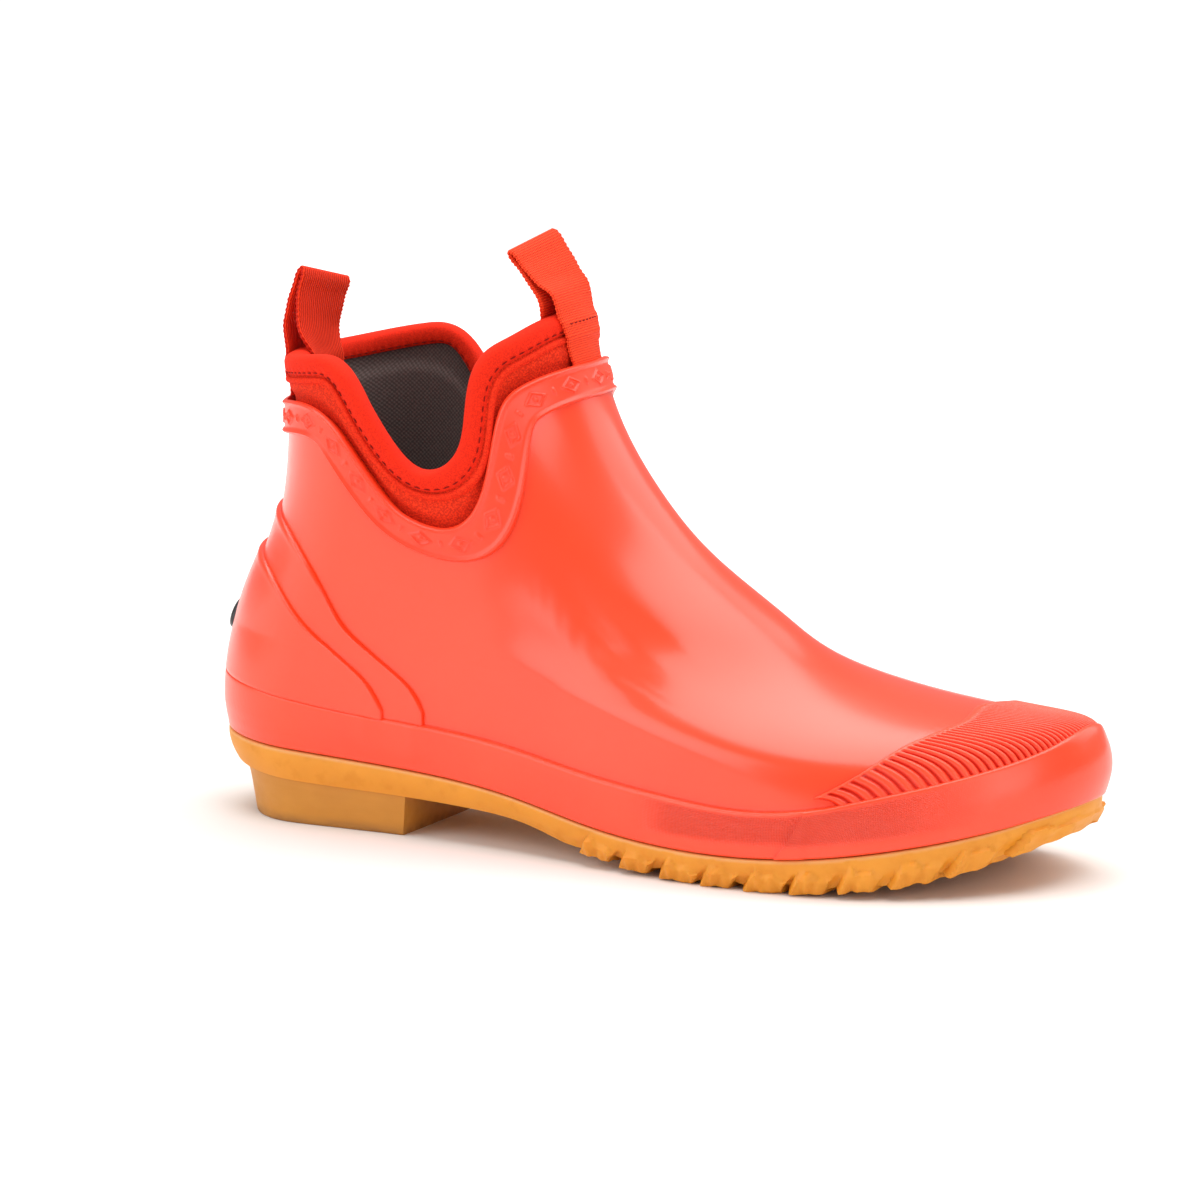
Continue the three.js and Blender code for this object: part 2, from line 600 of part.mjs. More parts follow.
// ---- Collar edge ---------------------------------------------------------------
const fabricOut = -(SHELL + GAP) + 1.6;
const fabricIn = fabricOut - NEOPRENE - GAP - LINING;
const BINDING = 1;
const slotOut = fabricOut + GAP;
const slotIn = fabricIn - GAP;
add("top_binding", trim(COLLAR_TOP, [
  [BINDING_WIDTH, slotOut], [BINDING_WIDTH, slotOut + BINDING * 0.8], [3.2, slotOut + BINDING * 1.2],
  [1, slotOut + BINDING * 0.8], [0, slotOut - 0.4], [0, slotIn + 0.4], [1, slotIn - BINDING * 0.8],
  [3.2, slotIn - BINDING * 1.2], [BINDING_WIDTH, slotIn - BINDING * 0.8], [BINDING_WIDTH, slotIn], [1.35, slotIn],
  [1.35, slotOut],
]), KNIT, 0.9);
add("collar_piping", trim(COLLAR_TOP, [
  [BINDING_WIDTH + GAP, slotOut + 0.2], [BINDING_WIDTH + GAP + 0.3, slotOut + 1.2], [BINDING_WIDTH + GAP + 1, slotOut + 1.5],
  [BINDING_WIDTH + GAP + 1.7, slotOut + 1], [BINDING_WIDTH + GAP + 2, slotOut + 0.2],
]), CORAL_DARK, 0.8);
const stitchOut = slotOut + BINDING * 1.2 + GAP;
add("binding_stitching", trim(COLLAR_TOP, [
  [BINDING_WIDTH - 1.7, stitchOut - 0.1], [BINDING_WIDTH - 1.7, stitchOut + 0.5], [BINDING_WIDTH - 1, stitchOut + 0.5],
  [BINDING_WIDTH - 1, stitchOut - 0.1],
]), 0xa81f10, 0.8);

// ---- Pull loops ------------------------------------------------------------------
// The sewn ends of a tape: down the outside to the band, over the binding, down the inside.
function sewnEnds(middle, tailOut, tailIn) {
  const width = at(COLLAR_TOP(middle), middle + 0.01).distanceTo(at(COLLAR_TOP(middle), middle - 0.01)) / 0.02;
  const half = TAPE_WIDTH / 2 / width;
  const face = slotOut + BINDING * 1.2 + 1.6;
  const lining = slotIn - BINDING * 1.2 - GAP;
  const route = [
    [tailOut, fabricOut + GAP, 0, 1], [BINDING_WIDTH + GAP + 4, fabricOut + GAP + 0.2, 0, 1],
    [BINDING_WIDTH + 1.8, face - 0.1, 0, 1], [1.2, face - 0.6, 0, 1], [-GAP, slotOut - 0.6, -1, 0.6],
    [-GAP - 0.2, slotIn + 0.3, -1, -0.6], [1.2, lining - 0.1, 0, -1], [tailIn, lining - 0.1, 0, -1],
  ];
  const steps = [-1, -0.5, 0, 0.5, 1].map((part) => middle + part * half);
  return skin(steps.map((t) => [
    ...route.map(([w, d, up, out]) => below(COLLAR_TOP, t, w + up * TAPE, d + out * TAPE)),
    ...route.slice().reverse().map(([w, d]) => below(COLLAR_TOP, t, w, d)),
  ]), false);
}

// The free part of a loop: a folded tape that closes at its foot, leans and twists.
const LOOP_STEPS = 9;
function freeLoop(foot, tip, fold) {
  const swell = spline([[0, 0.95], [0.12, 1.4], [0.35, 3.7], [0.6, 5.1], [0.8, 4.7], [0.93, 2.8], [1, 1]]);
  const axis = tip.clone().sub(foot);
  const wide = new THREE.Vector3(0, 1, 0);
  const frame = (part) => {
    const side = wide.clone().lerp(fold, smooth(part)).normalize();
    const centre = foot.clone().addScaledVector(axis, part);
    centre.addScaledVector(new THREE.Vector3(0, 0, 1), 1.6 * Math.sin(Math.PI * part));
    const out = side.clone().cross(axis).normalize();
    return { side, centre, out };
  };
  const ply = (way) => Array.from({ length: LOOP_STEPS + 1 }, (_, i) => {
    const part = way > 0 ? i / LOOP_STEPS : 1 - i / LOOP_STEPS;
    const { side, centre, out } = frame(part);
    return { side, p: centre.addScaledVector(out, way * swell(part)) };
  });
  const path = [...ply(1), ...ply(-1)];
  const n = path.length;
  const sections = path.map(({ side, p }, i) => {
    const along = path[(i + 1) % n].p.clone().sub(path[(i + n - 1) % n].p);
    const out = along.cross(side).normalize();
    return [[-1, -1], [1, -1], [1, 1], [-1, 1]].map(([across, through]) => (
      p.clone().addScaledVector(side, across * TAPE_WIDTH / 2).addScaledVector(out, through * TAPE / 2)
    ));
  });
  return skin(sections, true);
}

const loopFoot = (t) => {
  const crown = below(COLLAR_TOP, t, -GAP - TAPE, (slotOut + slotIn) / 2);
  crown.y = 0;
  crown.z += 1.8;
  return crown;
};
const frontFoot = loopFoot(0);
const rearFoot = loopFoot(1);
const frontTip = frontFoot.clone().add(new THREE.Vector3(-0.5, 0, 0.87).multiplyScalar(LOOP_LENGTH));
const rearTip = rearFoot.clone().add(new THREE.Vector3(0.36, 0, 0.93).multiplyScalar(LOOP_LENGTH));
add("front_loop_ends", sewnEnds(0, COLLAR_TOP(0) - BAND_TOP(0) - GAP, 9), KNIT, 0.85);
add("front_pull_loop", freeLoop(frontFoot, frontTip, new THREE.Vector3(0.09, 0.99, 0.1)), KNIT, 0.85);
add("rear_loop_ends", sewnEnds(1, COLLAR_TOP(1) - BAND_TOP(1) - GAP, 9), KNIT, 0.85);
add("rear_pull_loop", freeLoop(rearFoot, rearTip, new THREE.Vector3(0.1, 0.99, -0.12)), KNIT, 0.85);

// ---- Heel badge --------------------------------------------------------------------
function pebble(height, across, tall, inner, outer, count) {
  const width = at(height, 1.01).distanceTo(at(height, 0.99)) / 0.02;
  const point = (part, i, d) => {
    const angle = (2 * Math.PI * i) / count;
    return at(height + part * tall * Math.sin(angle), 1 + (part * across * Math.cos(angle)) / width, d);
  };
  const sides = [inner, outer].flatMap((d) => [
    at(height, 1, d), ...[0.55, 1].flatMap((part) => Array.from({ length: count }, (_, i) => point(part, i, d))),
  ]);
  const faces = [];
  const half = 1 + 2 * count;
  for (let i = 0; i < count; i += 1) {
    const k = (i + 1) % count;
    for (const [base, flip] of [[0, false], [half, true]]) {
      const tri = [
        [base, base + 1 + i, base + 1 + k],
        [base + 1 + i, base + 1 + count + i, base + 1 + count + k], [base + 1 + i, base + 1 + count + k, base + 1 + k],
      ];
      faces.push(...(flip ? tri.map(([a, b, c]) => [a, c, b]) : tri));
    }
    const a = 1 + count + i;
    const b = 1 + count + k;
    faces.push([a, a + half, b + half], [a, b + half, b]);
  }
  return solid(sides, faces);
}
const BADGE = { height: 34, across: 11, tall: 6.3, thick: 1.2 };
const badgeIn = patchOut + GAP;
add("heel_badge", pebble(BADGE.height, BADGE.across, BADGE.tall, badgeIn, badgeIn + BADGE.thick, 20), 0x17171a, 0.4);
add("badge_disc", pebble(
  BADGE.height, 3.2, 3.2, badgeIn + BADGE.thick + GAP, badgeIn + BADGE.thick + GAP + 0.7, 14,
), 0xf07a2a, 0.4);

export default group;
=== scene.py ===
import json
import math

import bmesh
import bpy
import numpy as np
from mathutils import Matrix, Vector


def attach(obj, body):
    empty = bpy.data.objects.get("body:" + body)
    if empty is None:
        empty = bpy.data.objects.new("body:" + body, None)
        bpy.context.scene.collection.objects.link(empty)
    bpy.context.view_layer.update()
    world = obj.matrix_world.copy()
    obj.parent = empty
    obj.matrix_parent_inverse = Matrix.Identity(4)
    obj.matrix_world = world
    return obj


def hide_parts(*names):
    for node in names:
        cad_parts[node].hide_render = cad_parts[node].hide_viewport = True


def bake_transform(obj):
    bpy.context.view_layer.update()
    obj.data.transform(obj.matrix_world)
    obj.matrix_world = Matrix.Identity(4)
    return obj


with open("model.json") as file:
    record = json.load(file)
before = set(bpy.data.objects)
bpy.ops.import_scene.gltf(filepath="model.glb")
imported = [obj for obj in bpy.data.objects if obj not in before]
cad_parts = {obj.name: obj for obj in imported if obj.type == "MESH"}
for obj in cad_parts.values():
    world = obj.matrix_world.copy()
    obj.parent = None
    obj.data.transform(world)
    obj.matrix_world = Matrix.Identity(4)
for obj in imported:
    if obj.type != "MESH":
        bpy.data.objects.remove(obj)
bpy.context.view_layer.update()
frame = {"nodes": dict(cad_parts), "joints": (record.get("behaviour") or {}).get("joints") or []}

# ---- Gum outsole ---------------------------------------------------------------
# One moulding of honey gum rubber: a smooth convex wall under the upper, a bare
# waist, and chunky lugs under the forefoot. It is vulcanised on with a thin pale
# line of cement. Sizes are in millimetres; +X is the toe, +Y the inner side.
LUG_DEPTH = 4
LUG_PITCH = 14.5
LUG_GAP = 2.4
LUG_SLANT = 7
LUG_START = 96
LUG_ROWS = 10
WAIST_END = 88
WELT = 2.4


def curve(*points):
    """Natural cubic through (x, y) points, straight beyond both ends."""
    x, y = np.array(points, float).T
    step = np.diff(x)
    size = len(x)
    band = np.eye(size)
    pull = np.zeros(size)
    for i in range(1, size - 1):
        band[i, i - 1:i + 2] = step[i - 1], 2 * (step[i - 1] + step[i]), step[i]
        pull[i] = 3 * ((y[i + 1] - y[i]) / step[i] - (y[i] - y[i - 1]) / step[i - 1])
    c = np.linalg.solve(band, pull)
    b = np.diff(y) / step - step * (2 * c[:-1] + c[1:]) / 3
    d = np.diff(c) / (3 * step)

    def value(u):
        u = np.asarray(u, float)
        inside = np.clip(u, x[0], x[-1])
        i = np.clip(np.searchsorted(x, inside) - 1, 0, size - 2)
        v = inside - x[i]
        low = np.minimum(u - x[0], 0) * b[0]
        high = np.maximum(u - x[-1], 0) * (b[-1] + step[-1] * (2 * c[-2] + 3 * d[-1] * step[-1]))
        return y[i] + v * (b[i] + v * (c[i] + v * d[i])) + low + high

    return value


def smooth(u):
    u = np.clip(u, 0, 1)
    return u**3 * (u * (6 * u - 15) + 10)


def quarter(u):
    """Rises from 0 to 1 along a quarter circle."""
    return np.sqrt(1 - (1 - np.clip(u, 0, 1)) ** 2)


def hump(u):
    return np.exp(-(u**2) / 2)


# The last that every layer is laid on: h is the height above the feather line, where
# upper and outsole meet, and t goes round it (0 toe, 0.5 outer side, 1 heel, 1.5 inner).
feather = curve((-42, 25.5), (0, 23), (35, 21), (70, 17.5), (100, 12.3), (130, 9.7), (165, 10.3), (200, 15),
                (225, 20.5), (245, 27))
front_line = curve((0, 238.5), (8, 240.5), (18, 239), (26, 229.5), (32, 203), (40, 166), (50, 143.5),
                   (64, 121.5), (82, 102), (105, 85.5), (130, 76.5), (160, 68))
back_line = curve((0, -40), (12, -40.2), (30, -38), (50, -32), (68, -24), (90, -19.5), (110, -19),
                  (130, -20.5), (160, -23))
outer_side = curve((-42, 32), (0, 32.5), (40, 33), (80, 38), (120, 46.5), (155, 51), (190, 50), (245, 45))
inner_side = curve((-42, 32), (0, 31.5), (40, 28), (80, 27), (120, 36), (155, 45), (190, 43), (245, 38))
centre_line = curve((-42, 0), (60, 0), (120, 1), (180, 4), (245, 10))
toe_rounding = curve((0, 62), (20, 80), (40, 105), (70, 95), (100, 70), (130, 52), (160, 48))
heel_rounding = curve((0, 34), (40, 36), (80, 38), (130, 45), (160, 48))
SHAFT_HALF = 41
SHAFT_RISE = 20


def last(h, t):
    t = np.mod(t, 2)
    angle = np.pi * np.where(t < 1, t, 2 - t)
    back, front = back_line(h), front_line(h)
    x = front - (front - back) * (1 - np.cos(angle)) / 2
    side = np.where(t < 1, -1.0, 1.0)
    shaft = smooth((h - 10) / 115)
    bulge = 1.2 * np.sin(np.pi * np.clip(h / 36, 0, 1))
    half = (np.where(t < 1, outer_side(x), inner_side(x)) + bulge) * (1 - shaft) + SHAFT_HALF * shaft
    ends = quarter((front - x) / toe_rounding(h)) * quarter((x - back) / heel_rounding(h))
    rise = smooth(h / 70)
    y = centre_line(x) * (1 - shaft) + side * half * ends
    return np.stack([x, y, h + feather(x) * (1 - rise) + SHAFT_RISE * rise], -1)


def at(h, t, d=0.0):
    """Points d outside the last, along its normal."""
    h, t, d = np.broadcast_arrays(np.asarray(h, float), np.asarray(t, float), np.asarray(d, float))
    across = last(h, t + 0.002) - last(h, t - 0.002)
    up = last(h + 0.2, t) - last(h - 0.2, t)
    normal = np.cross(across, up)
    normal /= np.linalg.norm(normal, axis=-1, keepdims=True)
    return last(h, t) - normal * d[..., None]


def net(rows, cols, start=0, round_rows=False, round_cols=False):
    """Four-sided faces between the points of a grid, which may close on itself."""
    index = np.arange(rows * cols).reshape(rows, cols) + start
    if round_rows:
        index = np.vstack([index, index[:1]])
    if round_cols:
        index = np.hstack([index, index[:, :1]])
    return np.stack([index[:-1, :-1], index[:-1, 1:], index[1:, 1:], index[1:, :-1]], -1).reshape(-1, 4)


def tube(rings, closed=False):
    """Rings of points and their faces. A closed tube's last ring joins its first."""
    return rings, net(*rings.shape[:2], round_rows=closed, round_cols=True)


def piece(name, parts, material, body="boot", stands_for=(), marks=None, crease=38):
    """A closed piece from (points, faces) pairs, in millimetres, welded where they meet."""
    points = np.concatenate([p.reshape(-1, 3) for p, _ in parts])
    starts = np.cumsum([0] + [p.size // 3 for p, _ in parts[:-1]])
    faces = np.concatenate([f + start for (_, f), start in zip(parts, starts)])
    _, first, same = np.unique(np.round(points, 4), axis=0, return_index=True, return_inverse=True)
    faces = same.reshape(-1)[faces]
    mesh = bpy.data.meshes.new(name)
    loops = [list(dict.fromkeys(f)) for f in faces.tolist()]
    mesh.from_pydata((points[first] * 0.001).tolist(), [], [f for f in loops if len(f) > 2])
    work = bmesh.new()
    work.from_mesh(mesh)
    bmesh.ops.recalc_face_normals(work, faces=work.faces)
    work.to_mesh(mesh)
    work.free()
    for mark, values in (marks or {}).items():
        layer = mesh.attributes.new(mark, "FLOAT", "POINT")
        layer.data.foreach_set("value", np.asarray(values, np.float32).reshape(-1)[first])
    mesh.shade_smooth()
    mesh.set_sharp_from_angle(angle=math.radians(crease))
    made = bpy.data.objects.new(name, mesh)
    bpy.context.scene.collection.objects.link(made)
    mesh.materials.append(material)
    if body:
        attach(made, body)
    if stands_for:
        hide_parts(*stands_for)
    return made


def sole_lid(ring, height, columns):
    """Closes a ring of points from its outer side across to its inner side, at a given height."""
    count = len(ring)
    half = count // 2
    outer = ring[:half + 1]
    inner = ring[(-np.arange(half + 1)) % count]
    share = np.linspace(0, 1, columns)[None, :, None]
    across = outer[:, None] * (1 - share) + inner[:, None] * share
    across[..., 2] = height(across[..., 0], across[..., 1], across[..., 2], share[..., 0])
    across[:, 0] = outer
    across[:, -1] = inner
    return across, net(half + 1, columns)


class Wire:
    """An output of a material's node. Sums on it add Math nodes to the same material."""

    def __init__(self, tree, socket):
        self.tree = tree
        self.socket = socket

    def node(self, kind, settings=None, sockets=None, output=0):
        """Adds a node: its settings first, then the values or links of its sockets."""
        made = self.tree.nodes.new(kind)
        for key, value in (settings or {}).items():
            setattr(made, key, value)
        for key, value in (sockets or {}).items():
            if isinstance(value, Wire):
                self.tree.links.new(value.socket, made.inputs[key])
            else:
                made.inputs[key].default_value = value
        return Wire(self.tree, made.outputs[output])

    def maths(self, operation, *terms):
        return self.node("ShaderNodeMath", {"operation": operation}, dict(enumerate(terms)))

    def __add__(self, other):
        return self.maths("ADD", self, other)

    def __sub__(self, other):
        return self.maths("SUBTRACT", self, other)

    def __rsub__(self, other):
        return self.maths("SUBTRACT", other, self)

    def __mul__(self, other):
        return self.maths("MULTIPLY", self, other)

    __radd__ = __add__
    __rmul__ = __mul__


def noise(place, size, detail=3.0, stretch=(1, 1, 1)):
    """Noise from 0 to 1 whose patches measure about size millimetres."""
    if stretch != (1, 1, 1):
        place = place.node("ShaderNodeMapping", None, {"Vector": place, "Scale": stretch})
    sockets = {"Vector": place, "Scale": 1000 / size, "Detail": detail}
    return place.node("ShaderNodeTexNoise", None, sockets, "Fac")


def between(value, low, high):
    """0 below low, 1 above high, smooth between them."""
    sockets = {"Value": value, "From Min": low, "From Max": high}
    return value.node("ShaderNodeMapRange", {"interpolation_type": "SMOOTHSTEP"}, sockets)


def tint(share, a, b):
    return share.node("ShaderNodeMix", {"data_type": "RGBA"}, {0: share, 6: a, 7: b}, 2)


def mark(place, name):
    return place.node("ShaderNodeAttribute", {"attribute_name": name}, None, "Fac")


def relief(height, depth, strength=1.0):
    """A normal from a height of 0 to 1 that is depth millimetres deep."""
    sockets = {"Height": height, "Distance": depth / 1000, "Strength": strength}
    return height.node("ShaderNodeBump", None, sockets, "Normal")


def colour(red, green, blue):
    """A shader colour from screen values of 0 to 255."""
    shares = [v / 255 for v in (red, green, blue)]
    return (*[s / 12.92 if s <= 0.04045 else ((s + 0.055) / 1.055) ** 2.4 for s in shares], 1)


def finish(name, recipe, constants):
    """A material: the recipe turns object coordinates into what varies, the rest is set on the shader."""
    material = bpy.data.materials.new(name)
    material.use_nodes = True
    tree = material.node_tree
    shader = tree.nodes["Principled BSDF"]
    place = Wire(tree, None).node("ShaderNodeTexCoord", output="Object")
    for socket, wire in recipe(place).items():
        tree.links.new(wire.socket, shader.inputs[socket])
    for socket, value in constants.items():
        shader.inputs[socket].default_value = value
    return material


GUM = colour(230, 152, 40)
GUM_DEEP = colour(204, 124, 28)
CEMENT = colour(222, 160, 100)


def gum_recipe(place):
    cloud = noise(place, 16)
    grain = noise(place, 0.5)
    rubbed = between(noise(place, 5, 5), 0.5, 0.72)
    body = tint(cloud * 0.7 + rubbed * 0.25, GUM, GUM_DEEP)
    line = between(mark(place, "down"), 0.16, 0.05)
    return {
        "Base Color": tint(line * (0.45 + 0.5 * noise(place, 3)), body, CEMENT),
        "Roughness": 0.42 + 0.2 * cloud + 0.12 * rubbed,
        "Normal": relief(grain * 0.4 + noise(place, 2.4) * 0.6, 0.12, 0.5),
    }


gum_rubber = finish("gum_rubber", gum_recipe, {
    "Subsurface Weight": 0.12, "Subsurface Radius": (1.0, 0.45, 0.15), "Subsurface Scale": 0.002,
    "Specular IOR Level": 0.4,
})

tread_line = curve((-42, 17.5), (-32, 16), (-12, 14), (18, 12.9), (55, 11.6), (75, 9.6), (96, 4.2), (116, 1.2),
                   (136, 0), (158, 0), (176, 0.8), (192, 2.6), (206, 5), (218, 8.4), (234, 14.6), (246, 20))


def tread(x):
    return np.maximum(0, tread_line(x))


def tread_depth(x):
    return LUG_DEPTH * smooth((x - WAIST_END) / 14) * (1 - 0.4 * smooth((x - 205) / 30))


def lug(x, share, half):
    """1 on a lug, 0 in a groove: three lugs across, ragged where they were cut from the mould."""
    from_outer = share * 2 * half
    thirds = np.minimum(np.abs(from_outer - 2 * half / 3), np.abs(from_outer - 4 * half / 3))
    column = np.floor(share * 3).clip(0, 2)
    skew = np.where(column == 1, 0, 0.12 * np.where(column == 0, from_outer, 2 * half - from_outer))
    along = (x - LUG_START - np.where(column == 1, 3, 0) - skew) / LUG_PITCH
    row = np.floor(along).clip(0, LUG_ROWS)
    jog = 0.9 * np.sin(row * 5.1 + column * 2.3)
    place = (along - row) * LUG_PITCH
    length = LUG_PITCH - LUG_GAP + 1.2 * np.sin(row * 3.7 + column * 1.9)
    fore = np.clip((length - place + 0.25 * jog) / 1.5, 0, 1)
    aft = np.clip((place + 0.4 + 0.25 * jog) / 1.2, 0, 1)
    notch = 1 - 0.22 * hump((place - length * (0.46 + 0.1 * np.sin(row * 2.9 + column))) / 0.8)
    inside = np.clip((thirds - 1.6) / 1.1, 0, 1)
    within = (along >= 0) & (along <= LUG_ROWS)
    return within * smooth(fore) * smooth(aft) * notch * smooth(inside)


OUTSOLE_TOE = 238.5
OUTSOLE_HEEL = -40
run = np.concatenate([
    OUTSOLE_TOE - 14 * (1 - np.cos(np.linspace(0, np.pi / 2, 24))),
    np.arange(224, 86, -0.55),
    np.arange(86, -28, -2.0),
    OUTSOLE_HEEL + 12 * (1 - np.cos(np.linspace(np.pi / 2, 0, 16))),
])
run = np.unique(run)[::-1]
half_turn = np.arccos(np.clip(1 - 2 * (OUTSOLE_TOE - run) / (OUTSOLE_TOE - OUTSOLE_HEEL), -1, 1)) / np.pi
sole_turn = np.concatenate([half_turn, 2 - half_turn[1:-1][::-1]])
down = np.array([0, 0.015, 0.04, 0.08, 0.14, 0.22, 0.32, 0.42, 0.52, 0.62, 0.7, 0.78, 0.86, 0.93, 0.98, 1])
down = down[:, None]
edge_x = at(0, sole_turn, 1.0)[:, 0]
edge_half = (outer_side(edge_x) + inner_side(edge_x)) / 2
slanted_x = edge_x - LUG_SLANT * (1 - down)
edge_lug = lug(slanted_x, np.where(sole_turn <= 1, 0.01, 0.99), edge_half)
welt = WELT * np.sin(np.pi * (0.25 + 0.55 * down)) - 2.2 * down
welt = welt * (0.62 + 0.38 * quarter(down / 0.06))
ragged = 0.3 * np.sin(edge_x * 1.7) + 0.35 * np.sin(edge_x * 0.83 + 2 * (sole_turn > 1))
slope = np.mod((slanted_x - LUG_START) / LUG_PITCH, 1)
lump_start = 0.3 + 0.34 * slope + 0.05 * np.sin(edge_x * 1.1)
lugged = smooth((edge_x - WAIST_END) / 12)
chunk = smooth((down - lump_start) / 0.14) * (2.2 - 1.3 * slope + ragged) * lugged * (0.3 + 0.7 * edge_lug)
chunk = chunk - 0.9 * smooth((down - 0.5) / 0.3) * lugged * (1 - edge_lug)
edge_cut = 0.45 + 0.2 * np.sin(edge_x * 0.31)
sole_wall = at(0, sole_turn[None, :], welt + chunk)
wall_x = sole_wall[..., 0]
top = feather(wall_x)
low = tread(wall_x) + tread_depth(wall_x) * edge_cut * (1 - edge_lug * (1 - 0.25 * slope))
sole_wall[..., 2] = top + (low - top) * down


def tread_height(x, y, z, share):
    half = (outer_side(x) + inner_side(x)) / 2
    on_lug = lug(x, share, half)
    bottom = tread(x) + tread_depth(x) * (1 - on_lug)
    return np.maximum(bottom + 0.25 * np.sin(x * 0.7 + y * 0.4) * on_lug * smooth(z / 4), 0)


def level(x, y, z, share):
    return z + 0 * share


sole_parts = [tube(sole_wall), sole_lid(sole_wall[-1], tread_height, 110), sole_lid(sole_wall[0], level, 12)]
how_low = [0 * points[..., 0] + share for (points, _), share in zip(sole_parts, (down, 1, 0))]
piece(
    "gum_outsole_moulding", sole_parts, gum_rubber, stands_for=["gum_outsole"], crease=45,
    marks={"down": np.concatenate([share.ravel() for share in how_low])},
)

# ---- Heel block ------------------------------------------------------------------
# A separate block of harder, browner gum rubber, glued under the outsole. Its back is
# scooped in under the gum band, its breast is upright, and grooves cross its underside.
HEEL_FRONT = 32
HEEL_GROOVES = (-24, -14, 12, 22)
HEEL_GROOVE = 1.6
HEEL_TOP_GAP = 0.1
HEEL_POINTS = 90
BREAST_POINTS = 14
HEEL_GUM = colour(208, 140, 44)
HEEL_GUM_DEEP = colour(178, 112, 30)


def heel_recipe(place):
    cloud = noise(place, 12)
    smear = noise(place, 3, 4, (0.35, 1, 1))
    # Darker brown in the lowest four millimetres of the block, towards the floor.
    low_dark = between(place.node("ShaderNodeSeparateXYZ", None, {0: place}, 2), 0.004, 0.0)
    body = tint(cloud * 0.6 + smear * 0.3, HEEL_GUM, HEEL_GUM_DEEP)
    return {
        "Base Color": tint(low_dark * smear, body, colour(120, 78, 44)),
        "Roughness": 0.38 + 0.25 * smear,
        "Normal": relief(noise(place, 0.8) * 0.5 + smear * 0.5, 0.12, 0.5),
    }


heel_rubber = finish("heel_rubber", heel_recipe, {"Specular IOR Level": 0.45})


def heel_ring(part):
    turn = np.linspace(0.655, 1.345, HEEL_POINTS)
    edge = at(0, turn, -1.6 - 1.2 * part)
    edge[:, 0] += (2.2 + 3.6 * np.sqrt(part)) * np.clip((-10 - edge[:, 0]) / 30, 0, 1)
    front = HEEL_FRONT - 1.5 * part
    edge = edge[edge[:, 0] < front - 0.2]
    run = np.linspace(0, 1, BREAST_POINTS)[:, None]
    breast = edge[-1] * (1 - run) + edge[0] * run
    breast[:, 0] = front
    spots = np.linspace(0, len(edge) - 1, HEEL_POINTS)
    edge = np.stack([np.interp(spots, np.arange(len(edge)), edge[:, k]) for k in range(3)], -1)
    return np.vstack([edge, breast])


heel_down = np.concatenate([np.linspace(0, 0.94, 20), [0.97, 0.99, 1]])
heel_wall = np.stack([heel_ring(part) for part in heel_down])
heel_top = tread(heel_wall[..., 0]) - HEEL_TOP_GAP
pull_in = 0.5 * (1 - quarter((1 - heel_down) / 0.06))[:, None]
heel_wall[..., 1] -= np.sign(heel_wall[..., 1]) * pull_in
heel_wall[..., 2] = heel_top * (1 - heel_down[:, None])


def heel_lid(ring, height):
    """Closes the block: from its outer side across to its inner side, along the foot."""
    edge, breast = ring[:HEEL_POINTS], ring[HEEL_POINTS:]
    half = HEEL_POINTS // 2
    outer, inner = edge[:half], edge[::-1][:half]
    share = np.linspace(0, 1, BREAST_POINTS)[None, :, None]
    across = outer[:, None] * (1 - share) + inner[:, None] * share
    across[..., 2] = height(across[..., 0], across[..., 1])
    across[:, 0], across[:, -1] = outer, inner
    return np.concatenate([breast[::-1][None], across]), net(half + 1, BREAST_POINTS)


def heel_sole(x, y):
    groove = sum(hump((x - g) / 0.9) for g in HEEL_GROOVES) * smooth((26 - np.abs(y)) / 2)
    return HEEL_GROOVE * np.clip(groove * 1.3, 0, 1)


def heel_seat(x, y):
    return tread(x) - HEEL_TOP_GAP


heel_lids = [heel_lid(heel_wall[-1], heel_sole), heel_lid(heel_wall[0], heel_seat)]
piece(
    "heel_block_moulding", [tube(heel_wall), *heel_lids], heel_rubber,
    stands_for=["heel_block"], crease=50,
)

# ---- Shank, filler, insole board, stiffener and toe puff ---------------------------
# The parts inside the bottom and the heel, which the finished boot hides: a spring-steel
# bar in a felt filler, a fibreboard sole above it, and two shells of stiff felted board.


def grained(deep, light, size, detail, rough, depth, stretch=(1, 1, 1), contrast=False):
    """A recipe whose one grain, size millimetres wide, sets the colour, the roughness and the relief."""
    def recipe(place):
        grain = noise(place, size, detail, stretch)
        shade = between(grain, 0.3, 0.7) if contrast else grain
        return {
            "Base Color": tint(shade, colour(*deep), colour(*light)),
            "Roughness": rough[0] + rough[1] * grain,
            "Normal": relief(grain, *depth),
        }
    return recipe


def fibre(name, deep, light, size):
    return finish(name, grained(deep, light, size, 6, (0.8, 0.15), (0.2, 0.7), contrast=True), {})


steel = grained((120, 126, 132), (176, 180, 184), 1.2, 4, (0.25, 0.25), (0.03, 0.4), stretch=(0.06, 1, 1))
inner_finishes = {
    "steel_shank": finish("spring_steel", steel, {"Metallic": 1.0}),
    "bottom_filler": fibre("filler_felt", (46, 40, 38), (84, 74, 70), 0.8),
    "insole_board": fibre("fibreboard", (160, 126, 84), (196, 164, 118), 1.5),
    "heel_stiffener": fibre("stiffener_board", (190, 176, 150), (222, 212, 190), 1.0),
}
inner_finishes["toe_puff"] = inner_finishes["heel_stiffener"]
for node, material in inner_finishes.items():
    mesh = frame["nodes"][node].data
    mesh.materials.clear()
    mesh.materials.append(material)

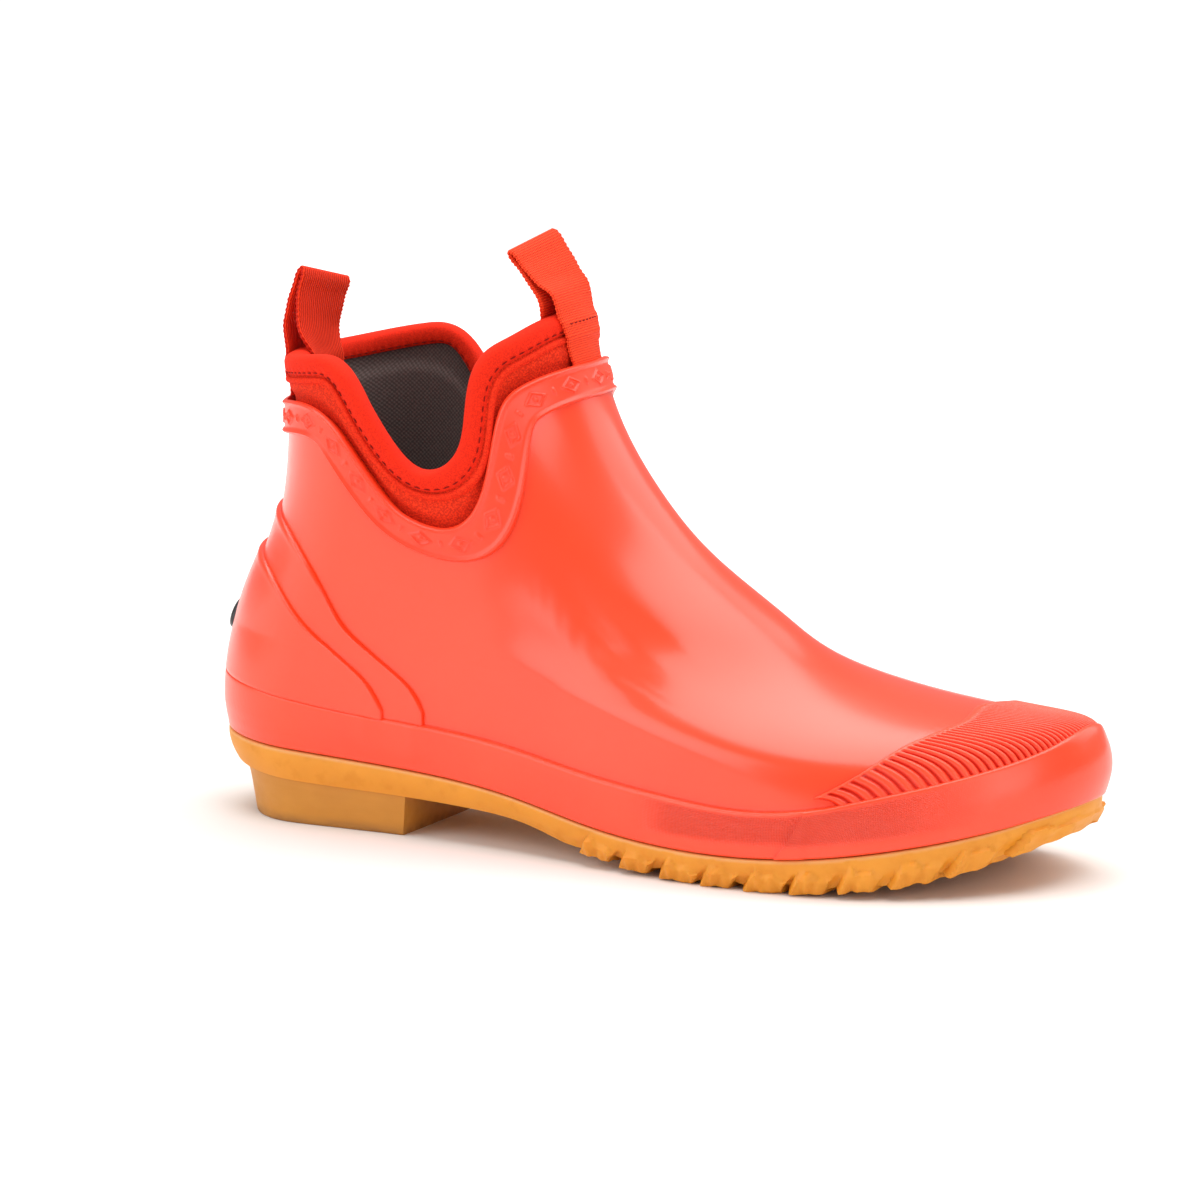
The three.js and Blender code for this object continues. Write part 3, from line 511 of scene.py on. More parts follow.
# ---- Upper -----------------------------------------------------------------------
# One seamless skin of hand-laid natural rubber, cured glossy, about two millimetres
# thick. It is softly crumpled where the ankle bends, in front of the outer side.
SHELL = 2.1
BAND_LIP_COVER = 2
CORAL = colour(251, 70, 27)
CORAL_DEEP = colour(246, 58, 20)
ROUND_POINTS = 360
FOLDS = (
    (0.5, (66, 0.352), (40, 0.372), 2.6), (-0.55, (68, 0.335), (42, 0.345), 3.4),
    (0.4, (58, 0.392), (40, 0.392), 2.2), (-0.3, (62, 0.31), (52, 0.285), 3),
    (0.45, (39.5, 0.35), (46, 0.22), 2.4), (-0.35, (50, 0.3), (52, 0.24), 6),
    (0.35, (60, 1.66), (42, 1.63), 3), (-0.4, (62, 1.69), (46, 1.68), 4),
)


def around(*points):
    """A height over t, the same on both sides of the foot."""
    line = np.array(points, float)
    before = line[1:4][::-1] * [-1, 1]
    after = line[-4:-1][::-1] * [-1, 1] + [2, 0]
    whole = curve(*before, *line, *after)
    return lambda t: whole(1 - np.abs(1 - np.mod(t, 2)))


band_top = around((0, 123.7), (0.14, 122.4), (0.22, 119.3), (0.28, 112.9), (0.317, 104.2), (0.356, 94.2),
                  (0.408, 83), (0.465, 76.8), (0.51, 78.2), (0.545, 83.5), (0.58, 95), (0.62, 105),
                  (0.66, 109), (0.73, 110.2), (0.86, 108), (1, 107.5))


def ridge(h, t, start, end, width):
    """1 along a line between two places (h, t) of the surface, falling away over width millimetres."""
    scale = 150
    p = np.stack([h, t * scale], -1)
    a, b = np.array([start[0], start[1] * scale]), np.array([end[0], end[1] * scale])
    run = np.clip(((p - a) @ (b - a)) / ((b - a) @ (b - a)), 0, 1)
    away = np.linalg.norm(p - (a + run[..., None] * (b - a)), axis=-1)
    return hump(away / width) * (0.35 + 0.65 * np.sin(np.pi * run))


def crumple(h, t):
    """Soft folds of the skin at the bend of the ankle: size, both ends (h, t) and width of each."""
    h, t = np.broadcast_arrays(np.asarray(h, float), np.asarray(t, float))
    bend = hump((h - 48) / 9) * hump((t - 0.362) / 0.03)
    ripple = 0.07 * bend * np.sin(h * 0.8 + 9 * np.sin(t * 31)) * np.sin(t * 150 + h * 0.3)
    return ripple + sum(size * ridge(h, t, *line) for size, *line in FOLDS)


def on(h, t, d=0.0):
    return at(h, t, d + crumple(h, t))


def gloss_recipe(place):
    cloud = noise(place, 45)
    peel = noise(place, 2.2, 2)
    return {
        "Base Color": tint(cloud, CORAL, CORAL_DEEP),
        "Roughness": 0.3 + 0.05 * cloud,
        "Coat Weight": 0.5 - 0.12 * cloud,
        "Normal": relief(peel * 0.7 + noise(place, 0.6) * 0.3, 0.05, 0.35),
    }


coral_gloss = finish("coral_gloss", gloss_recipe, {
    "Coat Roughness": 0.19, "Specular IOR Level": 0.5, "Subsurface Weight": 0.08,
    "Subsurface Radius": (1.0, 0.25, 0.12), "Subsurface Scale": 0.002,
})

round_turn = np.linspace(0, 2, ROUND_POINTS, endpoint=False)
rise = np.linspace(0, 1, 110)[:, None]
shell_low = 0.15
shell_high = band_top(round_turn)[None] - BAND_LIP_COVER
shell_heights = shell_low + (shell_high - shell_low) * rise
shell = np.concatenate([on(shell_heights, round_turn, 0), on(shell_heights[::-3], round_turn, -SHELL)])
piece("rubber_upper", [tube(shell, True)], coral_gloss, stands_for=["upper_shell"])

# ---- Neoprene bootie ----------------------------------------------------------------
# A sock of three-millimetre foam rubber faced with a heathered jersey. It lines the boot
# and stands out of the rubber as the soft red panel round the ankle.
NEOPRENE = 3
LAYER_GAP = 0.35
STIFFENER = 0.8
FABRIC_EDGE = 1.8
SOCK_FLOOR = 5.05
JERSEY = colour(242, 58, 24)
JERSEY_DEEP = colour(196, 36, 14)

collar_top = around((0, 139), (0.12, 137.6), (0.22, 133), (0.29, 127.5), (0.33, 119.5), (0.37, 106),
                    (0.42, 96.2), (0.465, 93), (0.505, 96.4), (0.535, 106.5), (0.57, 118), (0.61, 123.9),
                    (0.68, 124.8), (0.84, 121.8), (1, 121))


def under(edge, t, w):
    """The place (h, t) that lies w below an edge line, measured square to it."""
    t, w = np.broadcast_arrays(np.asarray(t, float), np.asarray(w, float))
    step = 0.004
    slope = (edge(t + step) - edge(t - step)) / (2 * step)
    along = np.linalg.norm(at(edge(t), t + step) - at(edge(t), t - step), axis=-1) / (2 * step)
    length = np.hypot(along, slope)
    return edge(t) - along / length * w, t + slope / length * w / along


def below(edge, t, w, d):
    return at(*under(edge, t, w), d)


def sock_outside(h, t):
    from_heel = np.abs(np.mod(t, 2) - 1)
    heel = (1 - smooth((from_heel - 0.335) / 0.12)) * (1 - smooth((h - 47) / 14))
    toe = (1 - smooth((1 - from_heel - 0.295) / 0.1)) * (1 - smooth((h - 30) / 8))
    covered = np.maximum(heel, toe)
    return -(SHELL + LAYER_GAP + (STIFFENER + LAYER_GAP) * covered) + 1.6 * smooth((h - band_top(t)) / 5)


def deck(height, t, d):
    """A ring of points at one height above the feather line."""
    ring = at(height, t, d)
    ring[..., 2] = feather(ring[..., 0]) + height
    return ring


def sock_wall(floor, offset, puff=0.0):
    """Rings from a floor up to an edge near the collar."""
    t = round_turn
    start = 6 + (floor - SOCK_FLOOR)
    high = band_top(t) - BAND_LIP_COVER
    heights = start + (high - start) * np.linspace(0, 1, 70)[:, None]
    top_h, top_t = under(collar_top, t, FABRIC_EDGE)
    climb = np.linspace(0, 1, 16)[1:, None]
    h, turn = high + (top_h - high) * climb, t + (top_t - t) * climb
    swell = puff * np.sin(np.pi * np.clip(climb * 1.25, 0, 1)) ** 0.8
    foot = deck(floor, t, offset(floor, t))[None]
    return np.concatenate([foot, at(heights, t, offset(heights, t)), at(h, turn, offset(h, turn) + swell)])


def sock(name, node, material, floor, thick, offset, puff=0.0):
    """A sock as thick as given, closed underneath, whose outside lies at an offset from the last."""
    out = sock_wall(floor, offset, puff)
    back = sock_wall(floor + thick, lambda h, t: offset(h, t) - thick)
    lids = [sole_lid(wall[0], level, 30) for wall in (out, back)]
    piece(name, [tube(np.concatenate([out, back[::-1]])), *lids], material, stands_for=[node])


def jersey_recipe(place):
    heather = noise(place, 0.55, 4)
    rib = noise(place, 0.35, 2, (1, 1, 3))
    pile = noise(place, 9)
    return {
        "Base Color": tint(between(heather, 0.36, 0.66), JERSEY_DEEP, JERSEY),
        "Roughness": 0.82 + 0.14 * heather,
        "Normal": relief(rib * 0.6 + heather * 0.3 + pile * 0.1, 0.22, 0.8),
    }


neoprene_jersey = finish("neoprene_jersey", jersey_recipe, {
    "Sheen Weight": 0.2, "Sheen Roughness": 0.4, "Sheen Tint": colour(255, 90, 50), "Specular IOR Level": 0.2,
})
sock("neoprene_sock", "neoprene_bootie", neoprene_jersey, SOCK_FLOOR, NEOPRENE, sock_outside, 0.45)

# ---- Lining ----------------------------------------------------------------------
# A dark grey knitted mesh bonded to the inside of the foam, with a floor under the
# footbed. Its open stitch shows as fine rows of darker holes.
LINING = 0.8
LINING_FLOOR = 8.4
LINING_GLUE = 0.1
LINING_GREY = colour(108, 94, 90)
LINING_DARK = colour(82, 70, 67)


def lining_recipe(place):
    across = place.node("ShaderNodeSeparateXYZ", None, {0: place}, 0) * (2 * math.pi / 0.0011)
    upward = place.node("ShaderNodeSeparateXYZ", None, {0: place}, 2) * (2 * math.pi / 0.0013)
    stitch = across.maths("SINE", across) * upward.maths("SINE", upward)
    mesh = between(stitch * 0.5 + 0.5 + (noise(place, 0.7) - 0.5) * 0.8, 0.3, 0.8)
    return {
        "Base Color": tint(mesh, LINING_DARK, LINING_GREY),
        "Roughness": 0.85 + 0.1 * mesh,
        "Normal": relief(mesh, 0.12, 0.6),
    }


grey_mesh = finish("grey_mesh", lining_recipe, {
    "Sheen Weight": 0.25, "Sheen Tint": colour(200, 190, 186), "Specular IOR Level": 0.2,
})
sock(
    "mesh_lining", "grey_lining", grey_mesh, LINING_FLOOR, LINING,
    lambda h, t: sock_outside(h, t) - NEOPRENE - LINING_GLUE,
)

# ---- Footbed -----------------------------------------------------------------------
# A loose slab of soft foam with a cupped heel and a raised arch, and over it a thin
# red cover cloth that is glued on. The wearer lifts both out by the heel end.
FOOTBED_FLOOR = 9.55
FOOTBED = 5
COVER_FLOOR = 14.9
COVER = 0.9
BED_INSET = 9.75
BED_RELIEF = 0.8


def bed_shape(x, share):
    """How far the top of the bed stands up, or sinks, from flat."""
    rim = np.abs(share * 2 - 1) ** 3
    cup = 1.6 * rim * smooth((70 - x) / 60)
    arch = 1.4 * hump((x - 70) / 28) * smooth((share - 0.45) / 0.5)
    return cup + arch - 0.9 * hump((x + 2) / 16) * hump((share - 0.5) / 0.2) - 0.5 * hump((x - 170) / 26)


bed_turn = np.linspace(0, 2, 240, endpoint=False)


def slab(name, node, material, floor, thick, edge):
    shares = np.array([0.0, 0.12, 0.3, 0.7, 0.88, 1.0])
    inset = edge * (1 - quarter(np.minimum(shares, 1 - shares) / 0.3))
    rings = np.stack([deck(floor + thick * s, bed_turn, -BED_INSET - i) for s, i in zip(shares, inset)])
    rings[..., 2] += BED_RELIEF * bed_shape(rings[..., 0], np.where(bed_turn <= 1, 0.0, 1.0))

    def lid(ring, height):
        def surface(x, y, z, share):
            return feather(x) + height + BED_RELIEF * bed_shape(x, share)
        return sole_lid(ring, surface, 40)

    parts = [tube(rings), lid(rings[0], floor), lid(rings[-1], floor + thick)]
    return piece(name, parts, material, body="footbed", stands_for=[node])


foam = grained((62, 56, 54), (104, 96, 92), 0.7, 5, (0.85, 0.1), (0.2, 0.6))
cloth = grained((110, 30, 24), (158, 52, 40), 0.5, 5, (0.88, 0.1), (0.15, 0.7), contrast=True)
bed_foam = finish("bed_foam", foam, {"Specular IOR Level": 0.2})
bed_cloth = finish("bed_cloth", cloth, {"Sheen Weight": 0.4, "Specular IOR Level": 0.2})
bed = slab("footbed_foam", "footbed", bed_foam, FOOTBED_FLOOR, FOOTBED, 1.2)
slab("footbed_cloth", "footbed_cover", bed_cloth, COVER_FLOOR, COVER, 0.4)

# ---- Foxing band -------------------------------------------------------------------
# A rubber tape wrapped round the sides and heel over the joint of upper and outsole.
# The counter under it shows through as a soft step, and its fore part is knurled.
FOXING = 1.5
TOE_SPAN = 0.335
FOXING_UNDER = 0.024
KNURL = 1.0
CORAL_SATIN = colour(252, 74, 34)

foxing_top = around((0, 22), (0.1, 19.6), (0.2, 17.4), (0.29, 15.2), (0.36, 13.9), (0.45, 15.4), (0.52, 15.4),
                    (0.6, 15.1), (0.72, 15.9), (0.82, 18), (1, 18.6))
FLOOR = 0.3
SNUG = 0.03


def rows(low, high, step=0.9):
    """Heights from low to high for every station: close together at both edges."""
    edge = 1.0
    ends = edge * np.array([0, 0.04, 0.14, 0.3, 0.5, 0.75, 1.0])
    inner = max(2, int(np.max(high - low) / step))
    share = np.linspace(0, 1, inner + 2)[1:-1, None]
    low, high = low[None], high[None]
    between_ends = low + edge + (high - low - 2 * edge) * share
    return np.concatenate([low + ends[:, None], between_ends, high - ends[::-1, None]])


def cap(ring):
    """Faces that close a flattened ring of point numbers, from one edge to the other."""
    pairs = np.stack([ring, ring[::-1]], -1)[:len(ring) // 2]
    return np.concatenate([pairs[:-1], pairs[1:, ::-1]], -1)


def layer(name, node, out, back, material, marks, crease=38):
    """A closed sheet of rubber between two grids of points."""
    loop = np.concatenate([out, back[::-1]])
    count, columns = loop.shape[:2]
    caps = [cap(np.arange(count) * columns + column) for column in (0, columns - 1)]
    faces = np.concatenate([net(count, columns, round_rows=True), *caps])
    both = {key: np.concatenate([values] * 2) for key, values in marks.items()}
    piece(name, [(loop, faces)], material, stands_for=[node], marks=both, crease=crease)


def patch(name, node, turn, heights, outer, inner, material, end_round=1.0, grip=None):
    """A layer on the last, with rounded edges all round it. Heights are rows over stations."""
    grid = on(heights, turn, 0)
    middle = grid[len(grid) // 2]
    along = np.cumsum(np.linalg.norm(np.diff(middle, axis=0, prepend=middle[:1]), axis=-1))
    from_edge = np.minimum(heights - heights[0], heights[-1] - heights)
    ends = np.minimum(along - along[0], along[-1] - along)[None]
    round_off = quarter(from_edge / 1.0) * quarter(ends / end_round)
    skin = inner + (outer(heights, turn) - inner) * (0.12 + 0.88 * round_off)
    marks = {}
    if grip:
        marks["along"] = np.broadcast_to(along, heights.shape)
        marks["rise"] = heights - foxing_top(turn)
        marks["grip"] = grip(heights, turn)
    layer(name, node, on(heights, turn, skin), on(heights, turn, inner), material, marks)


def satin_recipe(light, deep, rough, knurl=True):
    def recipe(place):
        cloud = noise(place, 30)
        peel = noise(place, 1.4, 3)
        skin, body = peel * 0.12, tint(cloud, light, deep)
        if knurl:
            a = mark(place, "along") * (2 * math.pi / KNURL)
            b = mark(place, "rise") * (2 * math.pi / (KNURL * 0.9))
            cells = a.maths("SINE", a + b) * a.maths("SINE", a - b)
            pits = (0.5 - 0.5 * cells) * mark(place, "grip")
            # The pits are also tinted darker red: painted shade in the knurl's hollows.
            skin, body = skin - pits, tint(0.6 * pits, body, colour(222, 36, 10))
        return {
            "Base Color": body,
            "Roughness": rough + 0.1 * cloud,
            "Normal": relief(skin, 0.4, 0.9),
        }
    return recipe


coral_satin = finish("coral_satin", satin_recipe(CORAL_SATIN, CORAL_DEEP, 0.3), {
    "Coat Weight": 0.25, "Coat Roughness": 0.2, "Subsurface Weight": 0.08,
    "Subsurface Radius": (1.0, 0.25, 0.12), "Subsurface Scale": 0.002,
})


def foxing_face(h, t):
    from_heel = np.abs(t - 1)
    step = smooth((0.362 - from_heel) / 0.014) * smooth((h - 1) / 5)
    second = smooth((0.318 - from_heel) / 0.012) * smooth((h - 4) / 6)
    ridge_line = hump((from_heel - 0.357) / 0.006) + 0.8 * hump((from_heel - 0.314) / 0.006)
    return LAYER_GAP + FOXING + 0.45 * step + 0.35 * second + 0.3 * ridge_line * smooth((h - 2) / 5)


def grip_height(h, t, start):
    return smooth((foxing_top(t) - 0.8 - h) / 1.0) * smooth((h - start) / 4)


def foxing_grip(h, t):
    return smooth((0.47 - np.abs(1 - np.abs(1 - t))) / 0.05) * grip_height(h, t, 3)


foxing_turn = np.linspace(TOE_SPAN - FOXING_UNDER, 2 - TOE_SPAN + FOXING_UNDER, 640)
foxing_heights = rows(FLOOR + 0 * foxing_turn, foxing_top(foxing_turn))
patch(
    "foxing_tape", "foxing_band", foxing_turn, foxing_heights, foxing_face, SNUG, coral_satin,
    grip=foxing_grip,
)

# ---- Toe bumper --------------------------------------------------------------------
# A thicker strip of rubber round the toe. Its two ends lap over the foxing in a slanted
# joint, and a fine knurl fades out of it towards the toe.
BUMPER_LAP = 0.012
BUMPER_EXTRA = 0.4
LAP_RISE = 0.8


def bumper_face(h, t):
    lap = smooth((np.abs(t) - (TOE_SPAN - 0.02)) / 0.012)
    swell = 0.5 * np.sin(np.pi * np.clip(h / foxing_top(t), 0, 1)) * (1 - smooth(np.abs(t) / 0.3))
    return LAYER_GAP + FOXING + BUMPER_EXTRA + LAP_RISE * lap + swell


def bumper_grip(h, t):
    return smooth((np.abs(t) - 0.13) / 0.16) * grip_height(h, t, 2.5)


bumper_share = np.linspace(-1, 1, 560)
bumper_heights = rows(FLOOR + 0 * bumper_share, foxing_top(np.abs(bumper_share) * TOE_SPAN) + 0.25)
slant = 1 + BUMPER_LAP / TOE_SPAN * (1 - bumper_heights / 7) * smooth((np.abs(bumper_share) - 0.8) / 0.2)
bumper_turn = bumper_share * TOE_SPAN * slant
patch(
    "toe_bumper_strip", "toe_bumper", bumper_turn, bumper_heights, bumper_face, SNUG, coral_satin,
    end_round=0.4, grip=bumper_grip,
)

# ---- Ribbed toe cap ----------------------------------------------------------------
# A cap moulded with straight ribs that run towards the toe. The grooves start just
# inside its back edge and run out under the bumper.
RIB_PITCH = 1.42
RIB_TURN = 0.17
RIB_STRETCH = 0.36
RIB_SPAN = 0.318
GROOVE = 0.95
CAP = 1.25
RIB_LEVEL = 200

rib_top = around((0, 31.8), (0.1, 30.2), (0.18, 28.4), (0.24, 25.6), (0.28, 21.8), (0.31, 18), (1, 18))


def cap_edges(t):
    """The heights between which the cap lies: from behind the bumper's edge up to its own."""
    low = foxing_top(t) - 0.6
    return low, np.maximum(rib_top(t), low + 1.2)


def cap_curves():
    """Stations that follow the ribs: for each row, where round the toe every rib line lies."""
    t = np.linspace(RIB_SPAN, -RIB_SPAN, 1200)
    low, high = cap_edges(t)
    share = np.concatenate([np.linspace(0, 0.9, 36), 1 - 0.1 * (1 - np.linspace(0, 1, 14)[1:]) ** 1.5])
    across = []
    for s in share:
        p = at(low + (high - low) * s, t, 0)
        line = p[:, 1] - RIB_TURN * (p[:, 0] - RIB_LEVEL)
        step = np.maximum(np.diff(line), RIB_STRETCH * np.linalg.norm(np.diff(p, axis=0), axis=-1))
        run = np.concatenate([[0], np.cumsum(step)])
        across.append(run - run[len(t) // 2] + line[len(t) // 2])
    start = max(a.min() for a in across)
    stop = min(a.max() for a in across)
    lines = np.arange(math.ceil(start / RIB_PITCH) * RIB_PITCH, stop, RIB_PITCH / 8)
    return np.stack([np.interp(lines, a, t) for a in across]), share[:, None], lines


cap_turn, cap_share, cap_lines = cap_curves()
cap_low, cap_high = cap_edges(cap_turn)
cap_h = cap_low + (cap_high - cap_low) * cap_share
from_rim = (cap_high - cap_h) * 2.2
wave = 0.5 + 0.5 * np.cos(2 * np.pi * cap_lines / RIB_PITCH)
groove_depth = GROOVE * wave**2.2 * smooth((from_rim - 0.8) / 1.2)
edge_round = 0.2 + 0.8 * quarter(from_rim / 1.4)
stations = np.arange(cap_turn.shape[1])
side_fade = quarter(np.minimum(stations, stations[::-1]) / 6)[None]
cap_skin = SNUG + (LAYER_GAP + CAP - groove_depth - SNUG) * edge_round * (0.15 + 0.85 * side_fade)


def rib_recipe(place):
    cloud = noise(place, 30)
    body = tint(cloud, colour(252, 78, 38), CORAL_DEEP)
    return {
        # The grooves are tinted darker red by their depth: painted shade in the grooves.
        "Base Color": tint(mark(place, "groove"), body, colour(206, 26, 8)),
        "Roughness": 0.34 + 0.1 * cloud,
        "Normal": relief(noise(place, 1.4, 3), 0.04, 0.5),
    }


coral_ribs = finish("coral_ribs", rib_recipe, {
    "Coat Weight": 0.2, "Coat Roughness": 0.2, "Subsurface Weight": 0.06, "Subsurface Scale": 0.002,
})
layer(
    "ribbed_cap", "ribbed_toe_cap", on(cap_h, cap_turn, cap_skin), on(cap_h, cap_turn, SNUG), coral_ribs,
    {"groove": groove_depth / GROOVE}, crease=60,
)

# ---- Heel counter, its patch and the back stay ---------------------------------------
# Two layers of sheet rubber stacked over the heel, the upper one smaller, and a narrow
# strip from them up the back to the collar. Their cut edges melt into soft ridges.
COUNTER_SPAN = 0.36
PATCH_SPAN = 0.325
STAY_SPAN = 0.06
OVERLAY = 1
BAND_WIDTH = 10

counter_top = around((0, 17), (0.638, 17), (0.66, 36), (0.69, 54), (0.72, 62.5), (0.776, 69.8), (0.86, 74),
                     (1, 76))
patch_top = around((0, 17), (0.674, 17), (0.7, 33), (0.735, 46), (0.78, 54.5), (0.84, 59), (0.92, 61.3),
                   (1, 62))


def edged(thick, top, span):
    """An even face with a low bead just inside its edge."""
    def face(h, t):
        inside = np.minimum(top(t) - h, (span - np.abs(t - 1)) * 190)
        return thick + 0.1 * hump((inside - 1.2) / 0.5)
    return face


def heel_layer(name, node, span, top, outer, inner):
    turn = 1 + span * np.sin(np.linspace(-np.pi / 2, np.pi / 2, 200))
    heights = rows(foxing_top(turn) - 0.8, top(turn), 1.2)
    patch(name, node, turn, heights, edged(outer, top, span), inner, coral_gloss)


FIRST_LAYER = LAYER_GAP + OVERLAY
SECOND_LAYER = 2 * LAYER_GAP + 2 * OVERLAY
heel_layer("counter_layer", "heel_counter", COUNTER_SPAN, counter_top, FIRST_LAYER, SNUG)
heel_layer("counter_patch", "heel_counter_patch", PATCH_SPAN, patch_top, SECOND_LAYER, FIRST_LAYER)
stay_turn = np.linspace(1 - STAY_SPAN, 1 + STAY_SPAN, 40)
stay_heights = rows(counter_top(stay_turn) - 0.5, band_top(stay_turn) - BAND_WIDTH + 0.5, 1.5)
patch(
    "back_stay", "back_stay_strip", stay_turn, stay_heights, lambda h, t: FIRST_LAYER + 0 * h, SNUG,
    coral_gloss,
)

# ---- Collar band -------------------------------------------------------------------
# A moulded rubber band that seals the edge of the upper to the neoprene: two raised
# lips and between them a chain of small embossed lozenges.
BAND_FACE = 1.3
LIP = 0.75
LOZENGE_PITCH = 13.0
LOZENGE = 0.6

band_turn = np.linspace(0, 2, 1100, endpoint=False)
lip_w = [0, 0, 0.12, 0.35, 0.7, 1.1, 1.45, 1.8]
band_w = np.concatenate([lip_w, np.linspace(2.2, 7.8, 22), [8.2, 8.55, 8.9, 9.3, 9.65, 9.88, 10, 10]])


def band_profile(w):
    lip = hump((w - 0.75) / 0.42) + hump((w - 9.25) / 0.42)
    edge = quarter(np.minimum(w, BAND_WIDTH - w) / 0.5)
    return (BAND_FACE - 0.1) * (0.35 + 0.65 * edge) + LIP * lip * edge


def lozenge(s, w):
    """A raised diamond outline with a bead in the middle and a bar between neighbours."""
    u = (s / LOZENGE_PITCH + 0.5) % 1 - 0.5
    away = np.abs(u * LOZENGE_PITCH) / 4.1 + np.abs(w - 5) / 2.5
    ring = smooth(1 - np.abs(away - 0.82) / 0.2)
    bead = smooth(1.25 - np.hypot(u * LOZENGE_PITCH, w - 5) / 0.75)
    v = (s / LOZENGE_PITCH) % 1 - 0.5
    bar = smooth((1.15 - np.abs(w - 5)) / 0.4) * smooth((0.62 - np.abs(v * LOZENGE_PITCH)) / 0.35)
    return np.maximum(np.maximum(ring, bead), bar)


def round_run(line):
    """The length along a closed line of points, up to each of them."""
    return np.cumsum(np.linalg.norm(line - np.roll(line, 1, axis=0), axis=-1))


band_run = round_run(below(band_top, band_turn, 5.0, 1.3))
band_run *= round(band_run[-1] / LOZENGE_PITCH) * LOZENGE_PITCH / band_run[-1]
bare = ((band_w > 2.1) & (band_w < 7.9))[:, None]
band_d = band_profile(band_w)[:, None] + LOZENGE * lozenge(band_run[None], band_w[:, None]) * bare
band_d[0] = band_d[-1] = 0.5
back_d = np.broadcast_to([[0.1], [0.05], [0.1]], (3, len(band_turn)))
ring_w = np.concatenate([band_w, [9.2, 5.0, 1.2]])
band = below(band_top, band_turn[None], ring_w[:, None], np.concatenate([band_d, back_d]))
coral_band = finish("coral_band", satin_recipe(colour(250, 68, 36), CORAL_DEEP, 0.34, knurl=False), {
    "Coat Weight": 0.15, "Coat Roughness": 0.25, "Subsurface Weight": 0.08, "Subsurface Scale": 0.002,
})
piece(
    "collar_band_moulding", [tube(band, True)], coral_band, stands_for=["collar_band"],
    crease=60,
)

# ---- Top binding -------------------------------------------------------------------
# A knitted red tape folded over the raw edge of neoprene and lining and sewn through.
# Each stitch pulls a small pucker into it.
FABRIC_OUT = -(SHELL + LAYER_GAP) + 1.6
SLOT_OUT = FABRIC_OUT + LAYER_GAP
SLOT_IN = FABRIC_OUT - NEOPRENE - LAYER_GAP - LINING - LAYER_GAP
STITCH = 3.1
BINDING_OUT = 1.3
BINDING_IN = 1.2
KNIT = colour(244, 46, 16)
KNIT_DEEP = colour(206, 30, 8)

collar_turn = np.linspace(0, 2, 1000, endpoint=False)
collar_run = round_run(below(collar_top, collar_turn, 5.0, SLOT_OUT + 1))
stitches = round(collar_run[-1] / STITCH)
collar_run *= stitches / collar_run[-1]


def knit_recipe(light, deep):
    def recipe(place):
        loop = noise(place, 0.45, 3)
        soft = noise(place, 6)
        return {
            "Base Color": tint(between(loop, 0.3, 0.7) * 0.7 + soft * 0.3, deep, light),
            "Roughness": 0.8 + 0.15 * loop,
            "Normal": relief(loop, 0.16, 0.8),
        }
    return recipe


red_knit = finish("red_knit", knit_recipe(KNIT, KNIT_DEEP), {
    "Sheen Weight": 0.2, "Sheen Roughness": 0.35, "Sheen Tint": colour(255, 80, 40), "Specular IOR Level": 0.2,
})
outer_path = ((5.9, 0.12), (5.5, 0.42), (4.6, 0.98), (3.2, BINDING_OUT), (1.8, 1.18), (0.75, 0.62),
              (0.12, -0.35), (-0.12, -1.4))
lower_path = ((-0.12, 1.4), (0.12, 0.35), (0.75, -0.6), (1.8, -1.1), (3.2, -BINDING_IN), (4.6, -0.95),
              (5.5, -0.45), (5.9, -0.1))
profile = np.array([
    *[(w, SLOT_OUT + d) for w, d in outer_path],
    (-0.15, (SLOT_OUT + SLOT_IN) / 2),
    *[(w, SLOT_IN + d) for w, d in lower_path],
])
fine = np.linspace(0, len(profile) - 1, 44)
roll_w, roll_d = (curve(*zip(range(len(profile)), column))(fine) for column in profile.T)
inner_path = np.array([
    [5.9, SLOT_IN + 0.02], [1.4, SLOT_IN + 0.02], [1.4, SLOT_OUT - 0.02], [5.9, SLOT_OUT - 0.02],
])
pucker = 0.14 * np.cos(2 * np.pi * collar_run)[None] * hump((roll_w[:, None] - 4.9) / 0.9)
outward = np.where(roll_d > (SLOT_OUT + SLOT_IN) / 2, 1, -1)[:, None]
binding_out = below(collar_top, collar_turn[None], roll_w[:, None], roll_d[:, None] + outward * pucker)
binding_back = below(collar_top, collar_turn[None], inner_path[:, :1], inner_path[:, 1:])
binding = np.concatenate([binding_out, binding_back])
piece(
    "binding_tape", [tube(binding, True)], red_knit, stands_for=["top_binding"],
    crease=60,
)

# ---- Binding stitches ----------------------------------------------------------------
# A lockstitch of dark red thread through binding, foam and lining: one dash for each
# stitch, sunk in the crease at the lower edge of the binding, outside and inside.
THREAD = 0.36
SEAM_DEPTH = 5.05
DASH_SHARE = 0.66

ply = grained((96, 8, 4), (150, 18, 10), 0.3, 3, (0.6, 0.2), (0.05, 0.6))
thread = finish("thread", ply, {"Specular IOR Level": 0.15})


def dashes(ends, thickness):
    """Rounded dashes between pairs of points: (start, end) rows of an array."""
    start, end = ends[:, 0], ends[:, 1]
    run = end - start
    length = np.linalg.norm(run, axis=-1, keepdims=True)
    run = run / length
    flat = np.cross(run, [0.12, 0.31, 0.94])
    flat /= np.linalg.norm(flat, axis=-1, keepdims=True)
    up = np.cross(run, flat)
    share = np.linspace(0, 1, 7)
    angle = np.linspace(0, 2 * np.pi, 8, endpoint=False)
    girth = thickness / 2 * np.sin(np.pi * share) ** 0.35
    spot = start[:, None, None] + (end - start)[:, None, None] * share[None, :, None, None]
    turn = flat[:, None, None] * np.cos(angle)[:, None] + up[:, None, None] * np.sin(angle)[:, None]
    points = spot + turn * girth[None, :, None, None]
    return [tube(p) for p in points]


